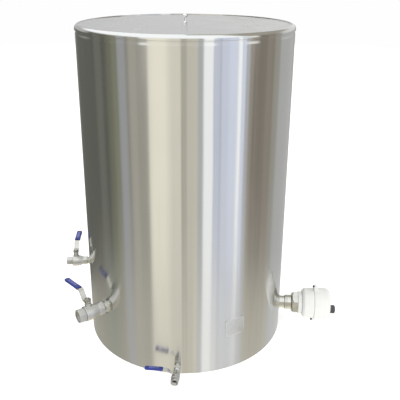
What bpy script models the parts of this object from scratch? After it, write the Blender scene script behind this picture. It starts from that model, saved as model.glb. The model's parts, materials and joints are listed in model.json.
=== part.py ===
"""Wax sterilizer: a double-walled stainless drum with a lift-off lid, three lever
ball valves and an immersion heater screwed into its foot.

Metres, +Z up. The origin is on the floor at the centre of the drum, and -Y is the
front. An azimuth is counted from the front, positive towards +X.
"""
import math
from collections import namedtuple

import bmesh
import bpy
from mathutils import Matrix, Vector

# Clearances
SEAT_GAP = 0.0003
STEM_GAP = 0.0005

# Drum
DRUM_RADIUS = 0.300
DRUM_SEGMENTS = 72
SHEET = 0.002
RIM_SEAT = 0.9159
NECK_STEP = 0.0015
NECK_HEIGHT = 0.0145
NECK_SLOPE = 0.003
VESSEL_RADIUS = 0.270
VESSEL_FLOOR = 0.125

# Lid
LID_OVERHANG = 0.0013
LID_RIM_HEIGHT = 0.014
LID_RIM_WIDTH = 0.006
LID_RIM_ROUND = 0.0022
LID_PLATE_DROP = 0.002
LIP_CLEARANCE = 0.006
LIP_DEPTH = 0.018
KNOB_HEAD_RADIUS = 0.0085
KNOB_HEAD_HEIGHT = 0.008
KNOB_NECK_RADIUS = 0.0024
KNOB_BASE_RADIUS = 0.0065
KNOB_BASE_HEIGHT = 0.002
KNOB_FLARE = 0.0015
KNOB_NECK_FOOT = 0.006
KNOB_HEIGHT = 0.025
KNOB_STUD_RADIUS = 0.0024
KNOB_NUT_HEIGHT = 0.005
KNOB_NUT_CORNER = 0.0062

# Label plate, left blank
LABEL_AZIMUTH = 26.9
LABEL_HEIGHT = 0.132
LABEL_WIDTH = 0.060
LABEL_TALL = 0.052
LABEL_CORNER = 0.008
LABEL_THICKNESS = 0.0008

# Immersion heater, lengths counted from the shell along its axis
HEATER_AZIMUTH = 77.8
HEATER_DIRECTION = 84.5
HEATER_HEIGHT = 0.0803
STUB_RADIUS = 0.0185
STUB_LENGTH = 0.016
STUB_WALL = 0.003
STUB_ROOT = 0.03
SOCKET_RADIUS = 0.022
SOCKET_LENGTH = 0.022
HEX_FLATS = 0.060
HEX_LENGTH = 0.0195
COLLAR_RADIUS = 0.0335
COLLAR_LENGTH = 0.0130
HOUSING_RADIUS = 0.0465
REAR_LENGTH = 0.0355
FRONT_LENGTH = 0.0490
REAR_CONE = 0.006
HOUSING_CHAMFER = 0.010
EAR_REACH = 0.0635
EAR_LENGTH = 0.018
EAR_WIDTH = 0.014
EAR_ROOT = 0.006
SCREW_OFFSET = 0.0592
SCREW_RADIUS = 0.0035
SCREW_HEIGHT = 0.005
GLAND_DROP = 0.020
GLAND_RADIUS = 0.014
GLAND_COLLAR = 0.006
GLAND_NUT_LENGTH = 0.0135
GLAND_DOME_LENGTH = 0.004
GLAND_DOME_DROP = 0.0045
GLAND_BORE = 0.0065
SEAL_BORE = 0.0045
SEAL_SETBACK = 0.0025

# Facets of the round pieces, and of a ball
FITTING_SEGMENTS = 24
SMALL_SEGMENTS = 16
HOUSING_SEGMENTS = 48
BALL_SEGMENTS = 20
GRIP_POINTS = 12
GRIP_SQUARENESS = 3.0

# A ball valve. Places along the pipe are counted from the shell, and heights above
# the pipe's axis. The roll tilts the stem about the pipe.
Valve = namedtuple("Valve", (
    "name azimuth height direction roll nipple_radius nipple_bore through "
    "inlet joint outlet end_flats inlet_flats body_radius port thread thread_depth "
    "stem_place stem_radius neck_radius lever_height nut_flats nut_height "
    "lever_length lever_width lever_thickness bend_start bend_end rise "
    "grip_start grip_width grip_thickness"))

FILL_VALVE = Valve(
    name="fill_valve", azimuth=-80.8, height=0.2230, direction=-87.5, roll=1.0,
    nipple_radius=0.0098, nipple_bore=0.0075, through=False,
    inlet=0.0065, joint=0.0500, outlet=0.0677, end_flats=0.0230, inlet_flats=0.0230,
    body_radius=0.0165, port=0.0067, thread=0.0093, thread_depth=0.012,
    stem_place=0.0392, stem_radius=0.0040, neck_radius=0.0070, lever_height=0.0310,
    nut_flats=0.0130, nut_height=0.005, lever_length=0.100, lever_width=0.015,
    lever_thickness=0.0025, bend_start=0.014, bend_end=0.030, rise=0.016,
    grip_start=0.040, grip_width=0.017, grip_thickness=0.009)

WAX_VALVE = Valve(
    name="wax_valve", azimuth=-50.1, height=0.1515, direction=-54.5, roll=-8.0,
    nipple_radius=0.0145, nipple_bore=0.0115, through=True,
    inlet=0.0115, joint=0.0690, outlet=0.0890, end_flats=0.0360, inlet_flats=0.0350,
    body_radius=0.0215, port=0.0113, thread=0.0153, thread_depth=0.015,
    stem_place=0.0540, stem_radius=0.0055, neck_radius=0.0095, lever_height=0.0315,
    nut_flats=0.0170, nut_height=0.007, lever_length=0.138, lever_width=0.0155,
    lever_thickness=0.0035, bend_start=0.016, bend_end=0.040, rise=0.0255,
    grip_start=0.0465, grip_width=0.0165, grip_thickness=0.0095)

DRAIN_VALVE = Valve(
    name="drain_valve", azimuth=-4.8, height=0.0171, direction=-7.0, roll=0.0,
    nipple_radius=0.0082, nipple_bore=0.0050, through=False,
    inlet=0.0160, joint=0.0480, outlet=0.0600, end_flats=0.0200, inlet_flats=0.0200,
    body_radius=0.0115, port=0.0050, thread=0.0075, thread_depth=0.009,
    stem_place=0.0385, stem_radius=0.0030, neck_radius=0.0050, lever_height=0.0168,
    nut_flats=0.0090, nut_height=0.004, lever_length=0.0845, lever_width=0.011,
    lever_thickness=0.0020, bend_start=0.012, bend_end=0.024, rise=0.008,
    grip_start=0.034, grip_width=0.013, grip_thickness=0.008)

VALVES = (FILL_VALVE, WAX_VALVE, DRAIN_VALVE)

# Shared by the three valves: the hexagon's length over the belly's radius, the waist
# over the hexagon's inner radius, and the ball over its bore
CAVITY_GAP = 0.0015
LEVER_LIFT = 0.002
HEX_RATIO = 0.667
HEX_SETBACK = 0.0006
NIPPLE_REACH = 0.004
NIPPLE_ROOT = 0.02
WAIST_RATIO = 0.97
BALL_RATIO = 1.42
THIN_STEM_RATIO = 0.7

# Small edges, and how far a cutter runs past what it cuts
EDGE = 0.001
FINE_EDGE = 0.0002
OVERRUN = 0.002
CUTTER_MARGIN = 0.010
HEX_HALF_ANGLE = math.pi / 6


def clear_scene():
    for old in list(bpy.data.objects):
        bpy.data.objects.remove(old, do_unlink=True)


def make_material(name, colour, roughness, metallic):
    material = bpy.data.materials.new(name)
    material.use_nodes = True
    shader = material.node_tree.nodes["Principled BSDF"]
    shader.inputs["Base Color"].default_value = (*colour, 1.0)
    shader.inputs["Roughness"].default_value = roughness
    shader.inputs["Metallic"].default_value = metallic
    return material


def make_materials():
    return {
        "drum_steel": make_material("drum_steel", (0.62, 0.61, 0.57), 0.22, 1.0),
        "vessel_steel": make_material("vessel_steel", (0.60, 0.60, 0.58), 0.35, 1.0),
        "cast_steel": make_material("cast_steel", (0.58, 0.57, 0.53), 0.42, 1.0),
        "turned_steel": make_material("turned_steel", (0.62, 0.60, 0.54), 0.28, 1.0),
        "chrome": make_material("chrome", (0.75, 0.75, 0.75), 0.08, 1.0),
        "blue_vinyl": make_material("blue_vinyl", (0.018, 0.045, 0.32), 0.38, 0.0),
        "white_plastic": make_material("white_plastic", (0.86, 0.86, 0.84), 0.40, 0.0),
        "dark_plastic": make_material("dark_plastic", (0.05, 0.05, 0.055), 0.45, 0.0),
        "label_foil": make_material("label_foil", (0.66, 0.66, 0.62), 0.45, 0.6),
        "rubber": make_material("rubber", (0.02, 0.02, 0.02), 0.7, 0.0),
    }


def finish_mesh(bm, name):
    """Turn a bmesh into a mesh with smooth round faces and sharp corners."""
    bmesh.ops.remove_doubles(bm, verts=bm.verts, dist=1e-7)
    bmesh.ops.recalc_face_normals(bm, faces=bm.faces)
    mesh = bpy.data.meshes.new(name)
    bm.to_mesh(mesh)
    bm.free()
    mesh.shade_smooth()
    mesh.set_sharp_from_angle(angle=math.radians(32))
    return mesh


def add_piece(name, bm, material=None, parent=None):
    """Add an object that holds the bmesh; one with no material is a cutter."""
    piece = bpy.data.objects.new(name, finish_mesh(bm, name))
    bpy.context.collection.objects.link(piece)
    piece.parent = parent
    if material is None:
        piece.hide_render = True
        piece.display_type = "WIRE"
    else:
        piece.data.materials.append(material)
    return piece


def add_frame(name, parent=None, location=(0, 0, 0), rotation=(0, 0, 0)):
    frame = bpy.data.objects.new(name, None)
    bpy.context.collection.objects.link(frame)
    frame.empty_display_size = 0.03
    frame.parent = parent
    frame.location = location
    frame.rotation_euler = rotation
    return frame


def combine(piece, other, operation):
    modifier = piece.modifiers.new(f"{operation.lower()} {other.name}", "BOOLEAN")
    modifier.object = other
    modifier.operation = operation
    modifier.solver = "EXACT"


def turned(profile, segments):
    """Spin a profile of (radius, height) points round Z. A profile that starts and
    ends on the axis is left open there; any other is closed into a ring."""
    bm = bmesh.new()
    points = [bm.verts.new((radius, 0, height)) for radius, height in profile]
    edges = [bm.edges.new(pair) for pair in zip(points, points[1:])]
    if profile[0][0] > 0:
        edges.append(bm.edges.new((points[-1], points[0])))
    bmesh.ops.spin(bm, geom=points + edges, axis=(0, 0, 1), cent=(0, 0, 0),
                   angle=math.tau, steps=segments, use_merge=True)
    return bm


def to_pipe_axis(bm):
    """Lay a shape made round Z along +X."""
    bmesh.ops.rotate(bm, verts=bm.verts, cent=(0, 0, 0),
                     matrix=Matrix.Rotation(math.pi / 2, 3, "Y"))
    return bm


def turned_pipe(profile, segments=FITTING_SEGMENTS):
    """Spin a profile of (place along X, radius) points round X."""
    return to_pipe_axis(turned([(radius, place) for place, radius in profile], segments))


def tube(start, end, bore, radius, segments=FITTING_SEGMENTS):
    return turned_pipe([(start, bore), (end, bore), (end, radius), (start, radius)], segments)


def rod(start, end, radius, segments=FITTING_SEGMENTS):
    return turned_pipe([(start, 0), (start, radius), (end, radius), (end, 0)], segments)


def hexagon(start, end, flats, chamfer):
    """A hexagonal bar along X with both ends chamfered."""
    corner = flats / math.sqrt(3)
    return turned_pipe([(start, 0), (start, corner - chamfer), (start + chamfer, corner),
                        (end - chamfer, corner), (end, corner - chamfer), (end, 0)], 6)


def ball(radius, segments=BALL_SEGMENTS):
    bm = bmesh.new()
    bmesh.ops.create_uvsphere(bm, u_segments=segments, v_segments=segments // 2, radius=radius)
    return bm


def arc(centre, radius, start, end, steps):
    """Points of an arc as (place, radius) pairs, angles in degrees from +X."""
    angles = [math.radians(start + (end - start) * i / steps) for i in range(steps + 1)]
    return [(centre[0] + radius * math.cos(a), centre[1] + radius * math.sin(a)) for a in angles]


def on_azimuth(radius, azimuth, height):
    angle = math.radians(azimuth)
    return Vector((radius * math.sin(angle), -radius * math.cos(angle), height))


def shell_cutter(name, radius, bottom, top):
    """A drum-shaped cutter whose facets lie parallel to those of the shell."""
    profile = [(0, bottom), (radius, bottom), (radius, top), (0, top)]
    return add_piece(name, turned(profile, DRUM_SEGMENTS))


def build_drum(materials):
    neck_radius = DRUM_RADIUS - NECK_STEP
    neck_foot = RIM_SEAT - NECK_HEIGHT
    outside = [(DRUM_RADIUS, 0), (DRUM_RADIUS, neck_foot - NECK_SLOPE),
               (neck_radius, neck_foot), (neck_radius, RIM_SEAT)]
    inside = [(radius - SHEET, height) for radius, height in reversed(outside)]
    shell = add_piece("outer_shell", turned(outside + inside, DRUM_SEGMENTS),
                      materials["drum_steel"])

    base_radius = DRUM_RADIUS - SHEET - SEAT_GAP
    add_piece("base_plate", turned([(0, 0), (base_radius, 0), (base_radius, SHEET), (0, SHEET)],
                                   DRUM_SEGMENTS), materials["vessel_steel"])

    ring_outer = neck_radius - SHEET - SEAT_GAP
    ring_foot = RIM_SEAT - SHEET
    add_piece("top_ring", turned([(VESSEL_RADIUS, ring_foot), (ring_outer, ring_foot),
                                  (ring_outer, RIM_SEAT), (VESSEL_RADIUS, RIM_SEAT)],
                                 DRUM_SEGMENTS), materials["drum_steel"])

    wall_outer = VESSEL_RADIUS + SHEET
    wall_top = ring_foot - SEAT_GAP
    wall = add_piece("inner_wall", turned([(VESSEL_RADIUS, VESSEL_FLOOR), (wall_outer, VESSEL_FLOOR),
                                           (wall_outer, wall_top), (VESSEL_RADIUS, wall_top)],
                                          DRUM_SEGMENTS), materials["vessel_steel"])

    floor_radius = VESSEL_RADIUS - SEAT_GAP
    floor_top = VESSEL_FLOOR + SHEET
    add_piece("inner_floor", turned([(0, VESSEL_FLOOR), (floor_radius, VESSEL_FLOOR),
                                     (floor_radius, floor_top), (0, floor_top)], DRUM_SEGMENTS),
              materials["vessel_steel"])
    return shell, wall


def build_lid(materials):
    pivot = add_frame("lid_slide", location=(0, 0, RIM_SEAT + SEAT_GAP))
    outer = DRUM_RADIUS + LID_OVERHANG
    inner = outer - LID_RIM_WIDTH
    top = LID_RIM_HEIGHT
    soft = LID_RIM_ROUND
    upper = arc((outer - soft, top - soft), soft, 0, 90, 3)
    lower = arc((outer - soft, soft), soft, -90, 0, 3)
    add_piece("lid_rim", turned([(inner, 0)] + lower + upper + [(inner, top)], DRUM_SEGMENTS),
              materials["drum_steel"], pivot)

    plate_top = top - LID_PLATE_DROP
    plate_foot = plate_top - SHEET
    plate_radius = inner - SEAT_GAP
    hole = KNOB_STUD_RADIUS + SEAT_GAP
    add_piece("lid_plate", turned([(hole, plate_foot), (plate_radius, plate_foot),
                                   (plate_radius, plate_top), (hole, plate_top)], DRUM_SEGMENTS),
              materials["drum_steel"], pivot)

    lip_outer = VESSEL_RADIUS - LIP_CLEARANCE
    lip_top = plate_foot - SEAT_GAP
    lip_foot = lip_top - LIP_DEPTH
    add_piece("lid_lip", turned([(lip_outer - SHEET, lip_foot), (lip_outer, lip_foot),
                                 (lip_outer, lip_top), (lip_outer - SHEET, lip_top)],
                                DRUM_SEGMENTS), materials["vessel_steel"], pivot)

    foot = plate_top + SEAT_GAP
    head_top = plate_top + KNOB_HEIGHT
    head_middle = head_top - KNOB_HEAD_HEIGHT / 2
    head = [(KNOB_HEAD_RADIUS * math.cos(a), head_middle + KNOB_HEAD_HEIGHT / 2 * math.sin(a))
            for a in (math.radians(d) for d in (-64, -40, -15, 15, 40, 64))]
    nut_top = plate_foot - SEAT_GAP
    stud_foot = nut_top - KNOB_NUT_HEIGHT - EDGE
    knob = ([(0, stud_foot), (KNOB_STUD_RADIUS, stud_foot), (KNOB_STUD_RADIUS, foot),
             (KNOB_BASE_RADIUS, foot), (KNOB_BASE_RADIUS, foot + KNOB_BASE_HEIGHT),
             (KNOB_NECK_RADIUS + KNOB_FLARE, foot + KNOB_BASE_HEIGHT + KNOB_FLARE),
             (KNOB_NECK_RADIUS, foot + KNOB_NECK_FOOT),
             (KNOB_NECK_RADIUS, head_top - KNOB_HEAD_HEIGHT)]
            + head + [(0, head_top)])
    add_piece("lid_knob", turned(knob, SMALL_SEGMENTS), materials["chrome"], pivot)

    nut_hole = (KNOB_STUD_RADIUS + SEAT_GAP) / math.cos(HEX_HALF_ANGLE)
    nut_foot = nut_top - KNOB_NUT_HEIGHT
    nut = turned([(nut_hole, nut_foot), (KNOB_NUT_CORNER, nut_foot),
                  (KNOB_NUT_CORNER, nut_top), (nut_hole, nut_top)], 6)
    add_piece("lid_knob_nut", nut, materials["turned_steel"], pivot)


def build_label(materials):
    """A thin blank plate bent to the drum, with rounded corners."""
    inner = DRUM_RADIUS + SEAT_GAP
    outer = inner + LABEL_THICKNESS
    low = LABEL_HEIGHT - LABEL_TALL
    high = LABEL_HEIGHT + LABEL_TALL
    plate = add_piece("label_plate", turned([(inner, low), (outer, low), (outer, high),
                                             (inner, high)], DRUM_SEGMENTS),
                      materials["label_foil"])
    bm = bmesh.new()
    bmesh.ops.create_cube(bm, size=1.0)
    bmesh.ops.scale(bm, verts=bm.verts, vec=(0.04, LABEL_WIDTH, LABEL_TALL))
    long_edges = [e for e in bm.edges
                  if abs(e.verts[0].co.x - e.verts[1].co.x) > 0.01]
    bmesh.ops.bevel(bm, geom=long_edges, offset=LABEL_CORNER, offset_type="OFFSET",
                    segments=4, profile=0.5, affect="EDGES", material=-1)
    outline = add_piece("label_outline", bm)
    outline.location = on_azimuth(DRUM_RADIUS, LABEL_AZIMUTH, LABEL_HEIGHT)
    outline.rotation_euler = (0, 0, math.radians(LABEL_AZIMUTH - 90))
    combine(plate, outline, "INTERSECT")


def strap(stations, thickness):
    """A flat bar along +X, bent upwards; a station is (place, height, width)."""
    bm = bmesh.new()
    place, height, width = stations[0]
    ends = [bm.verts.new((place, side * width / 2, height)) for side in (-1, 1)]
    edge = bm.edges.new(ends)
    for place, height, width in stations[1:]:
        grown = bmesh.ops.extrude_edge_only(bm, edges=[edge])["geom"]
        corners = [item for item in grown if isinstance(item, bmesh.types.BMVert)]
        for corner in corners:
            corner.co = (place, math.copysign(width / 2, corner.co.y), height)
        edge = next(item for item in grown if isinstance(item, bmesh.types.BMEdge)
                    and all(corner in corners for corner in item.verts))
    raised = bmesh.ops.extrude_face_region(bm, geom=list(bm.faces))["geom"]
    bmesh.ops.translate(bm, vec=(0, 0, thickness),
                        verts=[item for item in raised if isinstance(item, bmesh.types.BMVert)])
    return bm


def sleeve(stations):
    """A closed grip along +X with a rounded-rectangle section; a station is
    (place, height, width, thickness)."""
    bm = bmesh.new()
    ring = bmesh.ops.create_circle(bm, cap_ends=False, radius=1.0,
                                   segments=GRIP_POINTS)["verts"]
    bmesh.ops.rotate(bm, verts=ring, cent=(0, 0, 0), matrix=Matrix.Rotation(math.pi / 2, 3, "Y"))
    power = 2.0 / GRIP_SQUARENESS
    shape = []
    for vert in ring:
        across = math.copysign(abs(vert.co.y) ** power, vert.co.y)
        up = math.copysign(abs(vert.co.z) ** power, vert.co.z)
        shape.append((across, up))

    def set_ring(verts, station):
        place, height, width, thickness = station
        for vert, (across, up) in zip(verts, shape):
            vert.co = (place, across * width / 2, height + up * thickness / 2)

    rings = [ring]
    set_ring(ring, stations[0])
    for station in stations[1:]:
        copy = [bm.verts.new(vert.co) for vert in rings[-1]]
        set_ring(copy, station)
        count = len(copy)
        for i in range(count):
            j = (i + 1) % count
            bm.faces.new((rings[-1][i], rings[-1][j], copy[j], copy[i]))
        rings.append(copy)
    bm.faces.new(rings[0])
    bm.faces.new(rings[-1])
    return bm


def build_valve(valve, materials, shell, wall):
    name = valve.name
    frame = add_frame(f"{name}_frame", rotation=(0, 0, math.radians(valve.direction - 90)),
                      location=on_azimuth(DRUM_RADIUS, valve.azimuth, valve.height))
    stem_frame = add_frame(f"{name}_stem_frame", frame, (valve.stem_place, 0, 0),
                           (math.radians(-valve.roll), 0, 0))
    pivot = add_frame(f"{name}_pivot", stem_frame, rotation=(0, 0, -math.pi / 2))

    build_nipple(valve, materials, frame, shell, wall)
    build_valve_body(valve, materials, frame, stem_frame)
    build_outlet(valve, materials, frame)
    build_ball_and_stem(valve, materials, pivot)
    build_lever(valve, materials, pivot)


def build_nipple(valve, materials, frame, shell, wall):
    name = valve.name
    end = valve.inlet - SEAT_GAP
    if valve.through:
        start = VESSEL_RADIUS - DRUM_RADIUS - NIPPLE_REACH
        for sheet, part in ((shell, "shell"), (wall, "wall")):
            hole = rod(start - 2 * NIPPLE_REACH, valve.inlet, valve.nipple_radius + SEAT_GAP)
            combine(sheet, add_piece(f"{name}_{part}_hole", hole, parent=frame), "DIFFERENCE")
        add_piece(f"{name}_nipple", tube(start, end, valve.nipple_bore, valve.nipple_radius),
                  materials["turned_steel"], frame)
        return
    bar = tube(-NIPPLE_ROOT, end, valve.nipple_bore, valve.nipple_radius)
    nipple = add_piece(f"{name}_nipple", bar, materials["turned_steel"], frame)
    reach = valve.nipple_radius + CUTTER_MARGIN
    cutter = shell_cutter(f"{name}_shell_cutter", DRUM_RADIUS + SEAT_GAP,
                          valve.height - reach, valve.height + reach)
    combine(nipple, cutter, "DIFFERENCE")


def build_valve_body(valve, materials, frame, stem_frame):
    """Cast body: a hexagonal inlet, a round belly and the neck that guides the stem."""
    name = valve.name
    waist = valve.inlet_flats / 2 * WAIST_RATIO
    belly = valve.body_radius
    foot = valve.inlet + HEX_RATIO * belly
    outline = [(valve.inlet + EDGE, 0), (valve.inlet + EDGE, waist - EDGE), (foot, waist),
               (valve.stem_place - 0.55 * belly, belly * 0.965),
               (valve.stem_place - 0.2 * belly, belly), (valve.joint - 2 * EDGE, belly),
               (valve.joint, belly - EDGE), (valve.joint, 0)]
    body = add_piece(f"{name}_body", turned_pipe(outline), materials["cast_steel"], frame)
    hex_end = add_piece(f"{name}_inlet_hex",
                        hexagon(valve.inlet, foot - HEX_SETBACK, valve.inlet_flats, EDGE),
                        parent=frame)
    combine(body, hex_end, "UNION")

    neck_top = valve.lever_height - LEVER_LIFT
    neck = turned([(0, belly * 0.5), (valve.neck_radius, belly * 0.5),
                   (valve.neck_radius, neck_top - EDGE), (valve.neck_radius - EDGE, neck_top),
                   (0, neck_top)], SMALL_SEGMENTS)
    combine(body, add_piece(f"{name}_neck", neck, parent=stem_frame), "UNION")

    ball_radius = valve.port * BALL_RATIO
    cavity_radius = ball_radius + CAVITY_GAP
    meet = math.degrees(math.asin(valve.port / cavity_radius))
    cavity = arc((valve.stem_place, 0), cavity_radius, 180 - meet, 90, 4)
    hollow = ([(valve.inlet - OVERRUN, 0), (valve.inlet - OVERRUN, valve.port)] + cavity
              + [(valve.joint + OVERRUN, cavity_radius), (valve.joint + OVERRUN, 0)])
    combine(body, add_piece(f"{name}_hollow", turned_pipe(hollow), parent=frame), "DIFFERENCE")

    hole_radius = valve.stem_radius + STEM_GAP
    hole_top = neck_top + OVERRUN
    hole = turned([(0, 0), (hole_radius, 0), (hole_radius, hole_top), (0, hole_top)],
                  SMALL_SEGMENTS)
    combine(body, add_piece(f"{name}_stem_hole", hole, parent=stem_frame), "DIFFERENCE")


def build_outlet(valve, materials, frame):
    """Hexagonal end with a threaded socket, screwed into the body."""
    name = valve.name
    start = valve.joint + SEAT_GAP
    end = valve.outlet
    corner = valve.end_flats / math.sqrt(3)
    face = valve.end_flats * 0.5
    outlet = add_piece(f"{name}_outlet", hexagon(start, end, valve.end_flats, FINE_EDGE),
                       materials["cast_steel"], frame)
    chamfer = corner - face
    turning = [(start - EDGE, 0), (start - EDGE, corner + EDGE), (end - chamfer, corner + EDGE),
               (end + EDGE, face - EDGE), (end + EDGE, 0)]
    combine(outlet, add_piece(f"{name}_end_turning", turned_pipe(turning), parent=frame), "INTERSECT")
    socket_foot = end - valve.thread_depth
    bore = [(start - OVERRUN, 0), (start - OVERRUN, valve.port), (socket_foot, valve.port),
            (socket_foot, valve.thread), (end + OVERRUN, valve.thread), (end + OVERRUN, 0)]
    combine(outlet, add_piece(f"{name}_bore", turned_pipe(bore), parent=frame), "DIFFERENCE")


def build_ball_and_stem(valve, materials, pivot):
    name = valve.name
    ball_radius = valve.port * BALL_RATIO
    sphere = add_piece(f"{name}_ball", ball(ball_radius), materials["chrome"], pivot)
    through = rod(-ball_radius - OVERRUN, ball_radius + OVERRUN, valve.port)
    combine(sphere, add_piece(f"{name}_ball_bore", through, parent=pivot), "DIFFERENCE")

    foot = ball_radius + SEAT_GAP
    shoulder = valve.lever_height - SEAT_GAP
    thin = valve.stem_radius * THIN_STEM_RATIO
    top = valve.lever_height + valve.lever_thickness + valve.nut_height + EDGE
    stem = turned([(0, foot), (valve.stem_radius, foot), (valve.stem_radius, shoulder),
                   (thin, shoulder), (thin, top), (0, top)], SMALL_SEGMENTS)
    add_piece(f"{name}_stem", stem, materials["turned_steel"], pivot)

    nut_foot = valve.lever_height + valve.lever_thickness + SEAT_GAP
    nut_top = nut_foot + valve.nut_height
    corner = valve.nut_flats / math.sqrt(3)
    hole = (thin + SEAT_GAP) / math.cos(HEX_HALF_ANGLE)
    nut = turned([(hole, nut_foot), (corner, nut_foot), (corner, nut_top - EDGE),
                  (corner - EDGE, nut_top), (hole, nut_top)], 6)
    add_piece(f"{name}_lever_nut", nut, materials["turned_steel"], pivot)


def build_lever(valve, materials, pivot):
    name = valve.name
    width = valve.lever_width
    low = valve.lever_height
    high = low + valve.rise
    eye = width / 2 + EDGE
    round_end = [(-eye * math.cos(a), low, 2 * eye * math.sin(a))
                 for a in (math.radians(d) for d in (20, 45, 68, 90))]
    stations = round_end + [(valve.bend_start, low, width), (valve.bend_end, high, width),
                            (valve.grip_start - SEAT_GAP, high, width * 0.9)]
    lever = add_piece(f"{name}_lever", strap(stations, valve.lever_thickness),
                      materials["turned_steel"], pivot)
    hole_radius = valve.stem_radius * THIN_STEM_RATIO + SEAT_GAP
    hole_foot = low - OVERRUN
    hole_top = low + valve.lever_thickness + OVERRUN
    hole = turned([(0, hole_foot), (hole_radius, hole_foot), (hole_radius, hole_top), (0, hole_top)],
                  SMALL_SEGMENTS)
    combine(lever, add_piece(f"{name}_lever_hole", hole, parent=pivot), "DIFFERENCE")

    wide, thick = valve.grip_width, valve.grip_thickness
    middle = high + valve.lever_thickness / 2
    end = valve.lever_length
    start = valve.grip_start
    grip = [(start, middle, wide * 0.90, thick * 0.86),
            (start + 2 * EDGE, middle, wide * 0.97, thick),
            ((start + end) / 2, middle, wide, thick),
            (end - 7 * EDGE, middle, wide * 0.98, thick),
            (end - 2 * EDGE, middle, wide * 0.84, thick * 0.82),
            (end, middle, wide * 0.62, thick * 0.5)]
    add_piece(f"{name}_grip", sleeve(grip), materials["blue_vinyl"], pivot)


def build_heater(materials):
    frame = add_frame("heater_frame", rotation=(0, 0, math.radians(HEATER_DIRECTION - 90)),
                      location=on_azimuth(DRUM_RADIUS, HEATER_AZIMUTH, HEATER_HEIGHT))
    steel = materials["turned_steel"]
    white = materials["white_plastic"]

    socket_start = STUB_LENGTH
    hex_start = socket_start + SOCKET_LENGTH
    collar_start = hex_start + HEX_LENGTH
    rear_start = collar_start + COLLAR_LENGTH
    split = rear_start + REAR_LENGTH
    front_end = split + FRONT_LENGTH

    stub = add_piece("heater_stub", tube(-STUB_ROOT, socket_start - SEAT_GAP,
                                         STUB_RADIUS - STUB_WALL, STUB_RADIUS), steel, frame)
    reach = STUB_RADIUS + CUTTER_MARGIN
    combine(stub, shell_cutter("heater_shell_cutter", DRUM_RADIUS + SEAT_GAP,
                               HEATER_HEIGHT - reach, HEATER_HEIGHT + reach), "DIFFERENCE")

    socket_end = hex_start - SEAT_GAP
    bore = STUB_RADIUS - STUB_WALL
    socket = turned_pipe([(socket_start, bore), (socket_end, bore),
                          (socket_end, SOCKET_RADIUS - EDGE), (socket_end - EDGE, SOCKET_RADIUS),
                          (socket_start + EDGE, SOCKET_RADIUS),
                          (socket_start, SOCKET_RADIUS - EDGE)])
    add_piece("heater_socket", socket, steel, frame)

    hex_nut = add_piece("heater_hex", hexagon(hex_start, collar_start - SEAT_GAP, HEX_FLATS,
                                              FINE_EDGE), steel, frame)
    corner = HEX_FLATS / math.sqrt(3)
    face = HEX_FLATS / 2
    slope = corner - face + 2 * EDGE
    turning = [(hex_start - EDGE, 0), (hex_start - EDGE, face - 4 * EDGE),
               (hex_start + slope, corner + EDGE), (collar_start, corner + EDGE), (collar_start, 0)]
    combine(hex_nut, add_piece("heater_hex_turning", turned_pipe(turning, HOUSING_SEGMENTS),
                               parent=frame), "INTERSECT")

    add_piece("heater_collar", rod(collar_start, rear_start - SEAT_GAP, COLLAR_RADIUS,
                                   HOUSING_SEGMENTS), white, frame)

    rear_end = split - SEAT_GAP
    shoulder = HOUSING_RADIUS - 1.5 * EDGE
    rear = turned_pipe([(rear_start, 0), (rear_start, shoulder - REAR_CONE),
                        (rear_start + REAR_CONE, shoulder),
                        (rear_end - EDGE, HOUSING_RADIUS), (rear_end, HOUSING_RADIUS - EDGE),
                        (rear_end, 0)], HOUSING_SEGMENTS)
    add_piece("heater_rear_housing", rear, white, frame)

    radius = HOUSING_RADIUS + EDGE
    front = turned_pipe([(split, 0), (split, radius - EDGE), (split + EDGE, radius),
                         (front_end - HOUSING_CHAMFER, radius),
                         (front_end, radius - HOUSING_CHAMFER * 0.8), (front_end, 0)],
                        HOUSING_SEGMENTS)
    housing = add_piece("heater_front_housing", front, white, frame)
    for side, word in ((1, "top"), (-1, "bottom")):
        combine(housing, add_piece(f"heater_ear_{word}", build_ear(split, side), parent=frame),
                "UNION")
        head = rod(split - SCREW_HEIGHT, split - SEAT_GAP, SCREW_RADIUS, 12)
        bmesh.ops.translate(head, verts=head.verts, vec=(0, 0, side * SCREW_OFFSET))
        add_piece(f"heater_screw_{word}", head, materials["dark_plastic"], frame)

    build_gland(materials, frame, front_end)


def build_ear(split, side):
    """A screw boss: a wedge on the housing that runs out towards its free end."""
    bm = bmesh.new()
    root = HOUSING_RADIUS - EAR_ROOT
    crest = split + 0.4 * EAR_LENGTH
    outline = [(split, root), (split, EAR_REACH - 2 * EDGE), (split + 2 * EDGE, EAR_REACH),
               (crest, EAR_REACH - EDGE), (split + EAR_LENGTH, root)]
    corners = [bm.verts.new((place, -EAR_WIDTH / 2, side * height)) for place, height in outline]
    face = bm.faces.new(corners)
    raised = bmesh.ops.extrude_face_region(bm, geom=[face])["geom"]
    bmesh.ops.translate(bm, vec=(0, EAR_WIDTH, 0),
                        verts=[item for item in raised if isinstance(item, bmesh.types.BMVert)])
    return bm


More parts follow.
